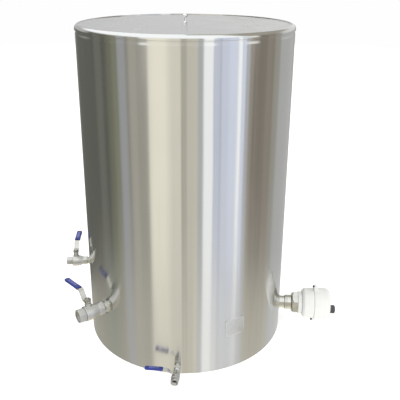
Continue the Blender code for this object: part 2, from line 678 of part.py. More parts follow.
def build_gland(materials, frame, housing_end):
    """Cable gland: a hexagonal collar, a domed nut and the seal in its mouth."""
    gland = add_frame("gland_frame", frame, (housing_end + SEAT_GAP, 0, -GLAND_DROP))
    dark = materials["dark_plastic"]
    collar = turned_pipe([(0, GLAND_BORE), (0, GLAND_RADIUS - EDGE), (EDGE, GLAND_RADIUS),
                          (GLAND_COLLAR - EDGE, GLAND_RADIUS),
                          (GLAND_COLLAR, GLAND_RADIUS - EDGE), (GLAND_COLLAR, GLAND_BORE)], 6)
    add_piece("gland_collar", collar, dark, gland)
    start = GLAND_COLLAR + SEAT_GAP
    end = start + GLAND_NUT_LENGTH
    dome = GLAND_RADIUS - EDGE
    nut = turned_pipe([(start, GLAND_BORE), (start, dome), (end - GLAND_DOME_LENGTH, dome),
                       (end - 0.4 * GLAND_DOME_LENGTH, dome - 0.4 * GLAND_DOME_DROP),
                       (end, dome - GLAND_DOME_DROP), (end, GLAND_BORE)],
                      SMALL_SEGMENTS)
    add_piece("gland_nut", nut, dark, gland)
    seal = tube(start, end - SEAL_SETBACK, SEAL_BORE, GLAND_BORE - SEAT_GAP, SMALL_SEGMENTS)
    add_piece("gland_seal", seal, materials["rubber"], gland)


def main():
    clear_scene()
    materials = make_materials()
    shell, wall = build_drum(materials)
    build_lid(materials)
    build_label(materials)
    for valve in VALVES:
        build_valve(valve, materials, shell, wall)
    build_heater(materials)


main()
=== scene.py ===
"""Looks for a wax sterilizer: a bright steel drum with a lift-off lid, three lever ball
valves and an immersion heater. Metres, +Z up, and -Y is the front.

An azimuth is counted from the front, positive towards +X. Each fitting is made along +X
in a frame of its own and then laid in its place.
"""
import json
import math
from collections import namedtuple

import bmesh
import bpy
from bpy.props import FloatProperty, FloatVectorProperty, IntProperty, PointerProperty
from mathutils import Matrix, Vector

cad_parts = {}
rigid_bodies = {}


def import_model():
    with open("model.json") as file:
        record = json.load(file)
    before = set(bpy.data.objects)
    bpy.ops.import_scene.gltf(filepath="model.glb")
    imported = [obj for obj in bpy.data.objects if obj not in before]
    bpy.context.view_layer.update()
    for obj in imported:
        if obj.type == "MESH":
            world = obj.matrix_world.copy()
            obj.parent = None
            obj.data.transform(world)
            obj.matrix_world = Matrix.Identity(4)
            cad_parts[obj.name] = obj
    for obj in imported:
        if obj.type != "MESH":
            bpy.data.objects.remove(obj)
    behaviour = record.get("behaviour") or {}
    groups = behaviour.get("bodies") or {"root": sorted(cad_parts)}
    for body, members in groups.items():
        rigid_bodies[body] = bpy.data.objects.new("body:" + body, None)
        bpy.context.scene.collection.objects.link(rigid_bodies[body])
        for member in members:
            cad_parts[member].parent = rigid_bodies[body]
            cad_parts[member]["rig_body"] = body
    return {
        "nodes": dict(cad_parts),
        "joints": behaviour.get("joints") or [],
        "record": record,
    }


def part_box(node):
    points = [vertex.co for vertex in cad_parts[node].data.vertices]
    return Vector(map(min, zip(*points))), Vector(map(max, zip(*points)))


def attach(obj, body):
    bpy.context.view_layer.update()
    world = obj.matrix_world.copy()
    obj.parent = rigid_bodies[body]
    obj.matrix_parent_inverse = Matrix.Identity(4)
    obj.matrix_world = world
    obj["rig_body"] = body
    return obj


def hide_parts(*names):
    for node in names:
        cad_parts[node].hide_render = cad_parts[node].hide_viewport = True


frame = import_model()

bl_info = {
    "name": "Wax sterilizer looks",
    "version": (1, 0, 0),
    "blender": (4, 5, 0),
    "location": "3D View > Sidebar > Sterilizer",
    "description": "Dresses the packed wax sterilizer and sets its stage",
    "category": "Object",
}

NODES = frame["nodes"]
MOUNTS = {mount["name"]: mount for mount in frame["record"]["mounts"]}
JOINTS = {joint["child"]: joint for joint in frame["joints"]}

UP = Vector((0, 0, 1))
SIDEWAYS = Vector((1, 0, 0))
UPRIGHT = Matrix.Identity(4)
# A hexagon's width across its flats, for a corner at a distance of one
FLATS = math.sqrt(3)
# Points closer than this are one point
SAME_SPOT = 1e-6
# How far a pipe's root sinks into the shell, the play round what passes or lies on a
# wall, and the plain wall kept above and below the wax valve's pipe
SINK = 0.0003
PLAY = 0.0002
MARGIN = 0.012
# Radius of the hole that the knob's bolt passes
KNOB_HOLE = 0.0027

# Each valve: its name, the mount at its mouth, and the body that its lever moves
Valve = namedtuple("Valve", "name mouth lever")
VALVES = (
    Valve("fill_valve", "fill_port", "fill_lever"),
    Valve("wax_valve", "wax_outlet", "wax_lever"),
    Valve("drain_valve", "drain_outlet", "drain_lever"),
)
WAX_VALVE = VALVES[1]

# The studio that the steel mirrors. A card stands round the drum from its start to its
# end with soft edges. It has a hue, and the brightness that the steel shows of its wall
# and of the floor before it. A card of the rear wall is counted from the rear.
HUES = {
    "plain": (1.0, 1.0, 0.985),
    "grey": (0.99, 1.0, 1.0),
    "moss": (1.0, 1.01, 0.93),
    "olive": (1.0, 1.01, 0.86),
    "warm": (1.02, 1.0, 0.925),
    "brown": (1.05, 0.99, 0.91),
    "lavender": (0.965, 0.99, 1.06),
}
FLOOR_HUES = {"grey": "plain", "lavender": "plain", "moss": "moss", "plain": "plain"}
Card = namedtuple("Card", "name start end softness hue wall floor")
FRONT_CARDS = (
    Card("left backdrop", -200, -106, 3.0, "moss", 88, 152),
    Card("left streak", -106, -95, 2.0, "moss", 101, 152),
    Card("left shade", -95, -87, 2.0, "moss", 86, 152),
    Card("olive wall", -87, -78, 2.5, "olive", 104, 154),
    Card("olive wall light", -80, -73, 2.0, "olive", 118, 158),
    Card("grey wall", -73, -38, 1.2, "grey", 147, 165),
    Card("post", -63, -59, 1.5, "warm", 131, 163),
    Card("warm wall", -59, -50, 1.5, "warm", 151, 164),
    Card("shelf", -50, -39, 1.5, "warm", 143, 161),
    Card("cream screen", -38, -4.5, 1.2, "warm", 200, 190),
    Card("cream glow", -37, -18, 5.0, "warm", 221, 197),
    Card("front gap", -4.5, 0, 1.0, "warm", 162, 182),
    Card("front wall", 0, 17, 1.5, "warm", 182, 184),
    Card("front light", 8, 12, 1.2, "warm", 184, 194),
    Card("front post", 12, 16.5, 1.2, "grey", 167, 187),
    Card("cool window", 17.5, 29, 1.5, "grey", 233, 227),
    Card("window bar", 29, 36, 1.5, "lavender", 192, 212),
    Card("lavender screen", 36, 55, 2.0, "lavender", 200, 202),
    Card("lavender glow", 45, 54, 2.5, "lavender", 209, 196),
    Card("bright edge", 54.5, 59.5, 1.0, "grey", 241, 214),
    Card("screen side", 59.5, 64, 1.2, "lavender", 211, 190),
    Card("screen shade", 64, 69, 1.5, "grey", 167, 182),
    Card("brown edge", 69, 74, 2.0, "brown", 135, 177),
    Card("brown wall", 74, 89, 2.5, "brown", 114, 176),
    Card("brown wall light", 89, 102, 4.0, "brown", 126, 176),
    Card("brown wall end", 102, 112, 3.0, "warm", 140, 178),
    Card("right backdrop", 112, 200, 4.0, "plain", 161, 182),
)
REAR_CARDS = (
    Card("rear wall", -200, 200, 1.0, "grey", 148, 165),
    Card("rear panel", -62, -30, 3.0, "grey", 196, 190),
    Card("rear shade", -30, -21, 2.0, "warm", 120, 160),
    Card("rear window", -16, 12, 2.0, "grey", 226, 210),
    Card("rear post", 20, 27, 2.0, "warm", 128, 160),
    Card("rear screen", 33, 66, 4.0, "warm", 186, 186),
)
# The studio's lamps above the cards: where each stands, and half its width
Lamp = namedtuple("Lamp", "azimuth half_width")
LAMPS = (Lamp(-42, 4.0), Lamp(25, 5.0), Lamp(71, 7.0))
# The elevations between which one part of the studio passes into the next, upwards
NEAR_FLOOR_ENDS = (-62.0, -48.0)
FLOOR_ENDS = (-32.0, -28.5)
LAMPS_BEGIN = (-4.0, 8.0)
LEVEL_BEGINS = (-2.0, 3.0)
SKY_BEGINS = (16.0, 28.0)
ZENITH_BEGINS = (58.0, 72.0)
# The brightness that the steel shows of the lamps, the floor near the drum, the
# horizon behind it on the left and on the right, and the dull and the lit sky
LAMP, NEAR_FLOOR, HORIZON_LEFT, HORIZON_RIGHT, DULL_SKY, LIT_SKY = 250, 226, 166, 198, 148, 249


# Properties

def length(name, description, default):
    return FloatProperty(name=name, description=description, default=default, min=0.0,
                         precision=5, unit="LENGTH")


def amount(name, description, default):
    return FloatProperty(name=name, description=description, default=default, min=0.0,
                         max=1.0, subtype="FACTOR")


def count(name, description, default):
    return IntProperty(name=name, description=description, default=default, min=3)


def colour(name, description, default):
    return FloatVectorProperty(name=name, description=description, default=default, size=3,
                               min=0.0, max=1.0, subtype="COLOR")


class DrumLooks(bpy.types.PropertyGroup):
    segments: count("Segments", "Facets round the drum", 256)
    sheet: length("Sheet", "Thickness of the steel sheet", 0.002)
    neck_step: length("Neck step", "How far the neck is drawn in under the lid", 0.0010)
    neck_height: length("Neck height", "Height of the drawn-in neck", 0.0035)
    neck_slope: length("Neck slope", "Height over which the neck is drawn in", 0.009)
    edge: length("Edge", "Rounding of the sheet's edges", 0.0007)
    seam_width: length("Seam width", "Width of the weld seam down the back", 0.005)
    seam_height: length("Seam height", "How far the weld seam stands proud", 0.0002)
    floor_fillet: length("Floor fillet", "Rounding where the floor meets the wall", 0.008)
    plate_corner: length("Plate corner", "Corner radius of the blank plate", 0.008)
    plate_lift: length("Plate lift", "How far the blank plate's corners have lifted", 0.0003)
    steel: colour("Drum steel", "Tint of the bright rolled sheet", (0.66, 0.655, 0.63))
    steel_roughness: amount("Drum roughness", "Roughness of the bright sheet", 0.14)
    vessel: colour("Vessel steel", "Tint of the satin sheet inside", (0.60, 0.60, 0.58))
    plate: colour("Blank plate", "Tint of the blank plate", (0.66, 0.655, 0.63))


class LidLooks(bpy.types.PropertyGroup):
    rim_width: length("Rim width", "Width of the lid's rolled rim", 0.011)
    rim_round: length("Rim round", "How far in the rim's round reaches", 0.009)
    rim_fall: length("Rim fall", "How far down the rim's round reaches", 0.0115)
    rim_edge: length("Rim edge", "Rounding of the rim's lower edge", 0.0004)
    crown: length("Crown", "How far the lid's middle stands proud", 0.0008)
    steel: colour("Lid steel", "Tint of the lid's sheet", (0.64, 0.635, 0.62))
    steel_roughness: amount("Lid roughness", "Roughness of the lid's sheet", 0.24)
    chrome: colour("Chrome", "Tint of the knob", (0.80, 0.80, 0.80))


class ValveLooks(bpy.types.PropertyGroup):
    segments: count("Segments", "Facets round a turned piece", 96)
    thread_pitch: length("Thread pitch", "Spacing of the thread's crests", 0.0018)
    thread_depth: length("Thread depth", "Depth of the thread", 0.0007)
    bead: length("Weld bead", "Thickness of the weld bead on the shell", 0.0020)
    ripples: count("Weld ripples", "Ripples round a weld bead", 30)
    voxel: length("Casting grain", "Cell in which a casting's fillets are made", 0.0006)
    edge: length("Edge", "Rounding of a machined edge", 0.0005)
    casting: colour("Cast steel", "Tint of the blasted castings", (0.57, 0.56, 0.525))
    turned: colour("Turned steel", "Tint of machined steel", (0.62, 0.61, 0.55))
    vinyl: colour("Blue vinyl", "Colour of the dipped grips", (0.016, 0.031, 0.24))
    vinyl_mark: colour("Grip bars", "Colour of the worn bars on a grip", (0.32, 0.36, 0.78))


class HeaterLooks(bpy.types.PropertyGroup):
    segments: count("Segments", "Facets round a housing", 128)
    edge: length("Edge", "Rounding of a moulded edge", 0.0018)
    seam: length("Seam", "Depth of the seam between the housings", 0.0006)
    plastic: colour("White plastic", "Colour of the housings", (0.80, 0.805, 0.78))
    dark: colour("Dark plastic", "Colour of the gland and the screws", (0.050, 0.050, 0.054))
    ribs: count("Gland ribs", "Ribs round the gland's nut", 14)


class StageLooks(bpy.types.PropertyGroup):
    camera: FloatVectorProperty(
        name="Camera", description="Where the camera stands", size=3, unit="LENGTH",
        subtype="TRANSLATION", default=(0.0, -1.6208, 1.0809))
    pitch: FloatProperty(name="Pitch", description="How far the camera looks down",
                         default=0.3448, subtype="ANGLE")
    yaw: FloatProperty(name="Yaw", description="How far the camera turns to the right",
                       default=0.0263, subtype="ANGLE")
    roll: FloatProperty(name="Roll", description="How far the camera leans",
                        default=0.0065, subtype="ANGLE")
    lens: FloatProperty(name="Lens", description="Focal length in millimetres",
                        default=51.6, unit="CAMERA")
    shift: FloatProperty(name="Shift", description="Rise of the lens as a share of the frame",
                         default=-0.075)
    floor_radius: length("Floor radius", "Radius of the pale floor", 7.0)
    floor: colour("Floor", "Colour of the floor", (0.80, 0.80, 0.80))
    floor_glow: amount("Floor glow", "Light that the lit floor gives off", 0.5)


# Shader nodes

def tint(red, green, blue):
    """A linear colour from the 0 to 255 values of a colour picker."""
    return tuple((part / 255 / 12.92) if part <= 10 else ((part / 255 + 0.055) / 1.055) ** 2.4
                 for part in (red, green, blue))


class Reading:
    """A number inside a shader. Arithmetic on it adds Math nodes."""

    def __init__(self, nodes, socket):
        self.nodes = nodes
        self.socket = socket

    def maths(self, operation, *values):
        node = self.nodes.add("ShaderNodeMath", {"operation": operation},
                              dict(enumerate(values)))
        return Reading(self.nodes, node.outputs[0])

    def __add__(self, other):
        return self.maths("ADD", self, other)

    def __sub__(self, other):
        return self.maths("SUBTRACT", self, other)

    def __rsub__(self, other):
        return self.maths("SUBTRACT", other, self)

    def __mul__(self, other):
        return self.maths("MULTIPLY", self, other)

    def __truediv__(self, other):
        return self.maths("DIVIDE", self, other)

    def size(self):
        return self.maths("ABSOLUTE", self)

    def part(self):
        return self.maths("FRACT", self)

    def larger(self, other):
        return self.maths("MAXIMUM", self, other)

    def rise(self, start, end):
        """0 before start and 1 after end, with a smooth step between."""
        node = self.nodes.add("ShaderNodeMapRange", {"interpolation_type": "SMOOTHSTEP"},
                              {"Value": self, "From Min": start, "From Max": end})
        return Reading(self.nodes, node.outputs["Result"])

    def spread(self, low, high, start=0.0, end=1.0):
        """The range from start to end, spread over low to high."""
        node = self.nodes.add("ShaderNodeMapRange", {"clamp": True},
                              {"Value": self, "From Min": start, "From Max": end,
                               "To Min": low, "To Max": high})
        return Reading(self.nodes, node.outputs["Result"])


class Nodes:
    """The nodes of one material or of the world."""

    def __init__(self, tree):
        self.tree = tree

    def fill(self, socket, value):
        """Link a value from another node to a socket, or set a constant on it."""
        if isinstance(value, Reading):
            value = value.socket
        if isinstance(value, bpy.types.NodeSocket):
            self.tree.links.new(value, socket)
        else:
            socket.default_value = value

    def add(self, kind, settings=None, sockets=None):
        node = self.tree.nodes.new(kind)
        for name, value in (settings or {}).items():
            setattr(node, name, value)
        for name, value in (sockets or {}).items():
            self.fill(node.inputs[name], value)
        return node

    def blend(self, mask, first, second):
        """The first colour where the mask is 0, and the second where it is 1."""
        first, second = [(*part, 1.0) if isinstance(part, tuple) else part
                         for part in (first, second)]
        node = self.add("ShaderNodeMix", {"data_type": "RGBA"}, {0: mask, 6: first, 7: second})
        return node.outputs[2]


class Finish(Nodes):
    """A material, its Principled shader and the patterns that vary it."""

    def __init__(self, name, base, roughness, metallic=0.0, place=UPRIGHT, **constants):
        self.material = bpy.data.materials.new(name)
        self.material.use_nodes = True
        super().__init__(self.material.node_tree)
        self.shader = self.tree.nodes["Principled BSDF"]
        self.base = tuple(base)
        constants.update(Base_Color=(*self.base, 1.0), Roughness=roughness, Metallic=metallic)
        for name, value in constants.items():
            self.feed(name.replace("_", " "), value)
        back = place.inverted()
        here = self.add("ShaderNodeTexCoord").outputs["Object"]
        self.here = self.add("ShaderNodeMapping", {}, {
            "Vector": here, "Location": back.to_translation(),
            "Rotation": back.to_euler()}).outputs["Vector"]

    def stretched(self, x, y, z):
        """The piece's own coordinates, stretched along its axes."""
        return self.add("ShaderNodeMapping", {}, {
            "Vector": self.here, "Scale": (x, y, z)}).outputs["Vector"]

    def noise(self, scale, detail=3.0, vector=None, roughness=0.5):
        node = self.add("ShaderNodeTexNoise", {}, {
            "Vector": vector or self.here, "Scale": scale, "Detail": detail,
            "Roughness": roughness})
        return Reading(self, node.outputs[0])

    def places(self):
        node = self.add("ShaderNodeSeparateXYZ", {}, {0: self.here})
        return [Reading(self, socket) for socket in node.outputs]

    def feed(self, name, value):
        self.fill(self.shader.inputs[name], value)

    def shaded(self, mask, darkest):
        """Darken the base colour where the mask is 0."""
        dark = tuple(part * darkest for part in self.base)
        self.feed("Base Color", self.blend(mask, dark, self.base))

    def emboss(self, height, distance, strength=1.0):
        node = self.add("ShaderNodeBump", {}, {"Height": height, "Distance": distance,
                                               "Strength": strength})
        self.feed("Normal", node.outputs["Normal"])


# Finishes

def drum_steel():
    """Bright rolled sheet: upright streaks, slow waves and faint smudges."""
    looks = bpy.context.scene.drum_looks
    finish = Finish("drum_steel_bright", looks.steel, looks.steel_roughness, 1.0,
                    Anisotropic=1.0, Anisotropic_Rotation=0.25)
    streaks = finish.noise(90.0, 4.0, finish.stretched(1.0, 1.0, 0.015))
    smudges = finish.noise(9.0, 5.0, finish.stretched(1.0, 1.0, 0.5))
    waves = finish.noise(5.0, 1.0, finish.stretched(1.0, 1.0, 0.35))
    finish.feed("Roughness", streaks.spread(looks.steel_roughness * 0.8,
                                            looks.steel_roughness * 1.15, 0.3, 0.7)
                + smudges.rise(0.52, 0.75) * 0.03)
    finish.shaded(smudges.spread(0.0, 1.0, 0.2, 0.55), 0.965)
    finish.emboss(waves + streaks * 0.012, 0.0012)
    return finish.material


def lid_steel():
    """The lid's sheet: duller, with soft mottling and fine handling scratches."""
    looks = bpy.context.scene.lid_looks
    finish = Finish("lid_steel_satin", looks.steel, looks.steel_roughness, 1.0)
    mottle = finish.noise(14.0, 6.0)
    scratches = finish.noise(60.0, 2.0, finish.stretched(1.0, 0.04, 1.0))
    finish.feed("Roughness", mottle.spread(looks.steel_roughness - 0.04,
                                           looks.steel_roughness + 0.05, 0.3, 0.7)
                + scratches.rise(0.62, 0.72) * 0.04)
    finish.shaded(mottle.spread(0.0, 1.0, 0.3, 0.6), 0.985)
    finish.emboss(mottle * 0.3 + scratches * 0.1, 0.00002)
    return finish.material


def vessel_steel():
    """Satin sheet inside: fine upright grain and dull water marks."""
    looks = bpy.context.scene.drum_looks
    finish = Finish("vessel_steel_satin", looks.vessel, 0.34, 1.0)
    grain = finish.noise(300.0, 2.0, finish.stretched(1.0, 1.0, 0.03))
    marks = finish.noise(12.0, 6.0)
    finish.feed("Roughness", grain.spread(0.28, 0.38, 0.3, 0.7) + marks.rise(0.5, 0.7) * 0.08)
    finish.shaded(marks.spread(0.0, 1.0, 0.25, 0.6), 0.92)
    finish.emboss(grain, 0.0001)
    return finish.material


def cast_steel(name, place):
    """Blasted casting: a fine even grain, darker in its pores."""
    looks = bpy.context.scene.valve_looks
    finish = Finish(f"cast_steel_{name}", looks.casting, 0.30, 0.95, place)
    grain = finish.noise(1100.0, 3.0)
    cloud = finish.noise(70.0, 4.0)
    finish.feed("Roughness", grain.spread(0.25, 0.36, 0.3, 0.7) + cloud.rise(0.5, 0.8) * 0.06)
    finish.shaded(cloud.spread(0.0, 1.0, 0.25, 0.6), 0.88)
    finish.emboss(grain, 0.0002)
    return finish.material


def turned_steel(name, place, shade=1.0):
    """Machined steel: fine rings round the piece's own axis."""
    looks = bpy.context.scene.valve_looks
    finish = Finish(f"turned_steel_{name}", [part * shade for part in looks.turned], 0.18,
                    1.0, place)
    rings = finish.noise(1.0, 2.0, finish.stretched(1500.0, 12.0, 12.0))
    stain = finish.noise(60.0, 4.0)
    finish.feed("Roughness", rings.spread(0.12, 0.24, 0.3, 0.7) + stain.rise(0.5, 0.75) * 0.08)
    finish.shaded(stain.spread(0.0, 1.0, 0.25, 0.6), 0.85)
    finish.emboss(rings, 0.00008)
    return finish.material


def chrome():
    """Polished chrome with a breath of dust."""
    looks = bpy.context.scene.lid_looks
    finish = Finish("chrome_polished", looks.chrome, 0.07, 1.0)
    dust = finish.noise(160.0, 4.0)
    finish.feed("Roughness", dust.spread(0.05, 0.14, 0.4, 0.8))
    finish.shaded(dust.spread(0.0, 1.0, 0.1, 0.5), 0.96)
    return finish.material


def blue_vinyl(name, place, bars):
    """Dipped vinyl: a soft skin, darker in random clouds, with plain worn bars on top."""
    looks = bpy.context.scene.valve_looks
    finish = Finish(f"blue_vinyl_{name}", looks.vinyl, 0.4, 0.0, place)
    along, across, height = finish.places()
    skin = finish.noise(500.0, 3.0)
    cloud = finish.noise(50.0, 4.0)
    start, end, half_width, top = bars
    row = ((along - start) / ((end - start) / 5)).part()
    bar = (row.rise(0.22, 0.30) * (1 - row.rise(0.62, 0.70))
           * along.rise(start - 0.0005, start) * (1 - along.rise(end - 0.001, end))
           * (1 - across.size().rise(half_width * 0.85, half_width))
           * height.rise(top - 0.003, top - 0.002))
    worn = bar * cloud.spread(0.35, 1.0, 0.3, 0.65)
    dark = tuple(part * 0.75 for part in finish.base)
    body = finish.blend(cloud.spread(0.0, 1.0, 0.3, 0.6), dark, finish.base)
    finish.feed("Base Color", finish.blend(worn, body, tuple(looks.vinyl_mark)))
    finish.feed("Roughness", skin.spread(0.32, 0.48, 0.3, 0.7))
    finish.emboss(skin * 0.3 + bar * 0.7, 0.0004)
    return finish.material


def white_plastic():
    """Moulded white plastic, faintly clouded, with a fine texture."""
    looks = bpy.context.scene.heater_looks
    finish = Finish("white_plastic_moulded", looks.plastic, 0.42)
    texture = finish.noise(900.0, 3.0)
    cloud = finish.noise(30.0, 4.0)
    finish.feed("Roughness", texture.spread(0.36, 0.5, 0.3, 0.7))
    finish.shaded(cloud.spread(0.0, 1.0, 0.2, 0.6), 0.965)
    finish.emboss(texture, 0.00012)
    return finish.material


def dark_plastic():
    """Moulded dark plastic, greyer where hands have rubbed it."""
    looks = bpy.context.scene.heater_looks
    finish = Finish("dark_plastic_moulded", looks.dark, 0.42)
    texture = finish.noise(700.0, 3.0)
    rubbed = finish.noise(80.0, 4.0)
    finish.feed("Roughness", texture.spread(0.34, 0.5, 0.3, 0.7))
    finish.feed("Base Color", finish.blend(rubbed.spread(0.0, 0.6, 0.45, 0.8), finish.base,
                                           tuple(part * 2.2 for part in finish.base)))
    finish.emboss(texture, 0.0002)
    return finish.material


def gland_rubber():
    """Soft black rubber with a bloom."""
    finish = Finish("gland_rubber", (0.022, 0.022, 0.022), 0.72)
    bloom = finish.noise(220.0, 5.0)
    finish.feed("Roughness", bloom.spread(0.62, 0.85, 0.3, 0.7))
    finish.feed("Base Color", finish.blend(bloom.spread(0.0, 1.0, 0.4, 0.75), finish.base,
                                           (0.045, 0.045, 0.046)))
    finish.emboss(bloom, 0.0003)
    return finish.material


def plate_foil(place, half_width, half_height):
    """The blank plate: buckled bright foil, with a painted highlight, paler in patches, along
    the edges that lift.
    """
    looks = bpy.context.scene.drum_looks
    finish = Finish("plate_foil_blank", looks.plate, 0.26, 1.0, place)
    _, across, height = finish.places()
    rim = (across.size() / half_width).larger(height.size() / half_height).rise(0.84, 0.98)
    cloud = finish.noise(45.0, 5.0)
    buckle = finish.noise(26.0, 2.0)
    # Painted highlight: the base colour is made paler in patches along the plate's edges
    painted_edge_highlight = tuple(min(1.0, part * 1.2) for part in finish.base)
    finish.feed("Base Color", finish.blend(rim * cloud.spread(0.2, 1.0, 0.35, 0.6),
                                           finish.base, painted_edge_highlight))
    finish.feed("Roughness", cloud.spread(0.22, 0.36, 0.3, 0.7) + rim * 0.08)
    finish.emboss(buckle + cloud * 0.1, 0.0013)
    return finish.material


# Shapes

def axes(along, up, origin=(0, 0, 0)):
    """A frame whose X runs along a piece and whose Z points up from it."""
    x = Vector(along).normalized()
    y = Vector(up).cross(x).normalized()
    matrix = Matrix((x, y, x.cross(y))).transposed().to_4x4()
    matrix.translation = origin
    return matrix


def off_axis(point):
    """How far a point is from its frame's X axis."""
    return math.hypot(point.y, point.z)


def off_stem(point):
    """How far a point is from its frame's Z axis."""
    return math.hypot(point.x, point.y)


class Measure:
    """A CAD node in a frame: its points, their start and end along the frame's X axis,
    and their nearest and farthest distance from that axis."""

    def __init__(self, place, node):
        back = place.inverted()
        self.points = [back @ vertex.co for vertex in NODES[node].data.vertices]
        self.start, self.end = self.span(0)
        self.bore = min(map(off_axis, self.points))
        self.radius = max(map(off_axis, self.points))
        self.flats = self.radius * FLATS
        self.size = (self.start, self.end, self.bore, self.radius)

    def span(self, axis):
        values = [point[axis] for point in self.points]
        return min(values), max(values)


def chamfered(start, end, bore, radius, first, last):
    """A bar's profile. The chamfer at each end is what is left of the radius, and how
    far the chamfer reaches along the bar."""
    return [(start, bore), (start, radius * first[0]), (start + first[1], radius),
            (end - last[1], radius), (end, radius * last[0]), (end, bore)]


def arc(centre, across, up, start, end, steps):
    """Points of an ellipse between two angles, in degrees from across towards up."""
    turns = [math.radians(start + (end - start) * step / steps) for step in range(steps + 1)]
    return [(centre[0] + across * math.cos(turn), centre[1] + up * math.sin(turn))
            for turn in turns]


def smooth(share):
    """Ease a share from 0 to 1 in and out."""
    return share * share * (3 - 2 * share)


def eased(profile, size, closed=False, steps=4):
    """Round a profile's corners, with a point beside each to keep its neighbours flat."""
    points = [Vector(point) for point in profile]
    rounded = []
    for index, corner in enumerate(points):
        if not closed and index in (0, len(points) - 1):
            rounded.append(corner)
            continue
        before = points[index - 1] - corner
        after = points[(index + 1) % len(points)] - corner
        if before.length < 1e-7 or after.length < 1e-7 or before.angle(-after) < 0.1:
            rounded.append(corner)
            continue
        reach = min(size, before.length * 0.3, after.length * 0.3)
        ahead = before.normalized() * reach
        behind = after.normalized() * reach
        shares = [step / steps for step in range(steps + 1)]
        rounded += [corner + ahead * 1.6,
                    *(corner + ahead * (1 - share) ** 2 + behind * share ** 2
                      for share in shares), corner + behind * 1.6]
    return rounded


def divided(profile, spacing):
    """Add points along a profile so that none of its stretches is longer than spacing."""
    points = [Vector(point) for point in profile]
    full = [points[0]]
    for start, end in zip(points, points[1:]):
        parts = max(1, math.ceil((end - start).length / spacing))
        full += [start.lerp(end, step / parts) for step in range(1, parts + 1)]
    return full


def spun(profile, segments):
    """Spin a profile of (radius, height) points round Z. One that starts and ends on
    the axis is left open there; any other is closed into a ring."""
    bm = bmesh.new()
    points = [bm.verts.new((radius, 0, height)) for radius, height in profile]
    edges = [bm.edges.new(pair) for pair in zip(points, points[1:])]
    if profile[0][0] > SAME_SPOT:
        edges.append(bm.edges.new((points[-1], points[0])))
    bmesh.ops.spin(bm, geom=points + edges, axis=UP, cent=(0, 0, 0), angle=math.tau,
                   steps=segments, use_merge=True)
    bmesh.ops.remove_doubles(bm, verts=bm.verts, dist=SAME_SPOT)
    return bm


def spun_along(profile, segments):
    """Spin a profile of (place along X, radius) points round X."""
    bm = spun([(radius, place) for place, radius in profile], segments)
    bmesh.ops.rotate(bm, verts=bm.verts, cent=(0, 0, 0),
                     matrix=Matrix.Rotation(math.pi / 2, 3, "Y"))
    return bm


def pushed(vert, distance):
    """Move a vertex to a distance from the X axis."""
    share = distance / off_axis(vert.co)
    vert.co.y *= share
    vert.co.z *= share


def mill_flats(bm, across, above=0.0):
    """Cut six flats on a bar along X; corners stand straight up. Only what is farther
    out than above is touched."""
    step = math.tau / 6
    for vert in bm.verts:
        off = (math.atan2(vert.co.y, vert.co.z) % step) - step / 2
        limit = across / 2 / math.cos(off)
        if off_axis(vert.co) > max(above, limit):
            pushed(vert, limit)
    return bm


def verts_in(items):
    return [item for item in items if isinstance(item, bmesh.types.BMVert)]


def thickened(bm, step):
    """Extrude a sheet by a step."""
    raised = bmesh.ops.extrude_face_region(bm, geom=bm.faces[:])["geom"]
    bmesh.ops.translate(bm, vec=step, verts=verts_in(raised))


def drawn_on(bm, edges):
    """Extrude edges where they are, into new vertices and new edges between them."""
    grown = bmesh.ops.extrude_edge_only(bm, edges=edges)["geom"]
    ends = verts_in(grown)
    return ends, [item for item in grown if isinstance(item, bmesh.types.BMEdge)
                  and all(end in ends for end in item.verts)]


def smoothed(mesh, sharp):
    """Shade a mesh smooth but for the edges sharper than an angle in degrees."""
    mesh.shade_smooth()
    mesh.set_sharp_from_angle(angle=math.radians(sharp))


def added(name, bm, place=UPRIGHT, sharp=32.0):
    """Make a shape into a piece of the scene, laid in its place."""
    bmesh.ops.transform(bm, matrix=place, verts=bm.verts)
    bmesh.ops.remove_doubles(bm, verts=bm.verts, dist=SAME_SPOT)
    bmesh.ops.recalc_face_normals(bm, faces=bm.faces)
    mesh = bpy.data.meshes.new(name)
    bm.to_mesh(mesh)
    bm.free()
    smoothed(mesh, sharp)
    piece = bpy.data.objects.new(name, mesh)
    bpy.context.scene.collection.objects.link(piece)
    return piece


def modified(piece, kind, **settings):
    """Add a modifier to a piece."""
    modifier = piece.modifiers.new(kind.title(), kind)
    for name, value in settings.items():
        setattr(modifier, name, value)


def settled(piece):
    """Apply a piece's modifiers to its mesh."""
    graph = bpy.context.evaluated_depsgraph_get()
    mesh = bpy.data.meshes.new_from_object(piece.evaluated_get(graph))
    old = piece.data
    piece.modifiers.clear()
    piece.data = mesh
    bpy.data.meshes.remove(old)
    return piece


def combined(piece, other, operation="DIFFERENCE"):
    """Cut or join a piece with another shape, which is used up."""
    modified(piece, "BOOLEAN", object=other, operation=operation, solver="EXACT")
    bpy.context.view_layer.update()
    settled(piece)
    bpy.data.objects.remove(other, do_unlink=True)


def bevelled(piece, width, segments=2, angle=28.0):
    """Break the edges that are sharper than angle."""
    modified(piece, "BEVEL", width=width, segments=segments, limit_method="ANGLE",
             angle_limit=math.radians(angle), harden_normals=True)
    return settled(piece)


def painted(piece, finish):
    piece.data.materials.clear()
    piece.data.materials.append(finish)


def dressed(piece, finish, node):
    """Give a piece its finish and let it stand for a CAD node, on the node's body."""
    painted(piece, finish)
    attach(piece, NODES[node]["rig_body"])
    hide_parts(node)


def fixed(piece, finish):
    """Give a piece that stands for no CAD node its finish, on the drum's body."""
    painted(piece, finish)
    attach(piece, "root")


def lathe(name, profile, segments, place, finish, node):
    """Turn a profile round a frame's X axis into a piece for a CAD node."""
    dressed(added(name, spun_along(profile, segments), place), finish, node)


def milled(name, profile, spacing, segments, flats, place, bevel, above=0.0, steps=2):
    """Turn a bar, cut its six flats and break its edges."""
    bm = mill_flats(spun_along(divided(profile, spacing), segments), flats, above)
    return bevelled(added(name, bm, place, 24.0), bevel, steps)


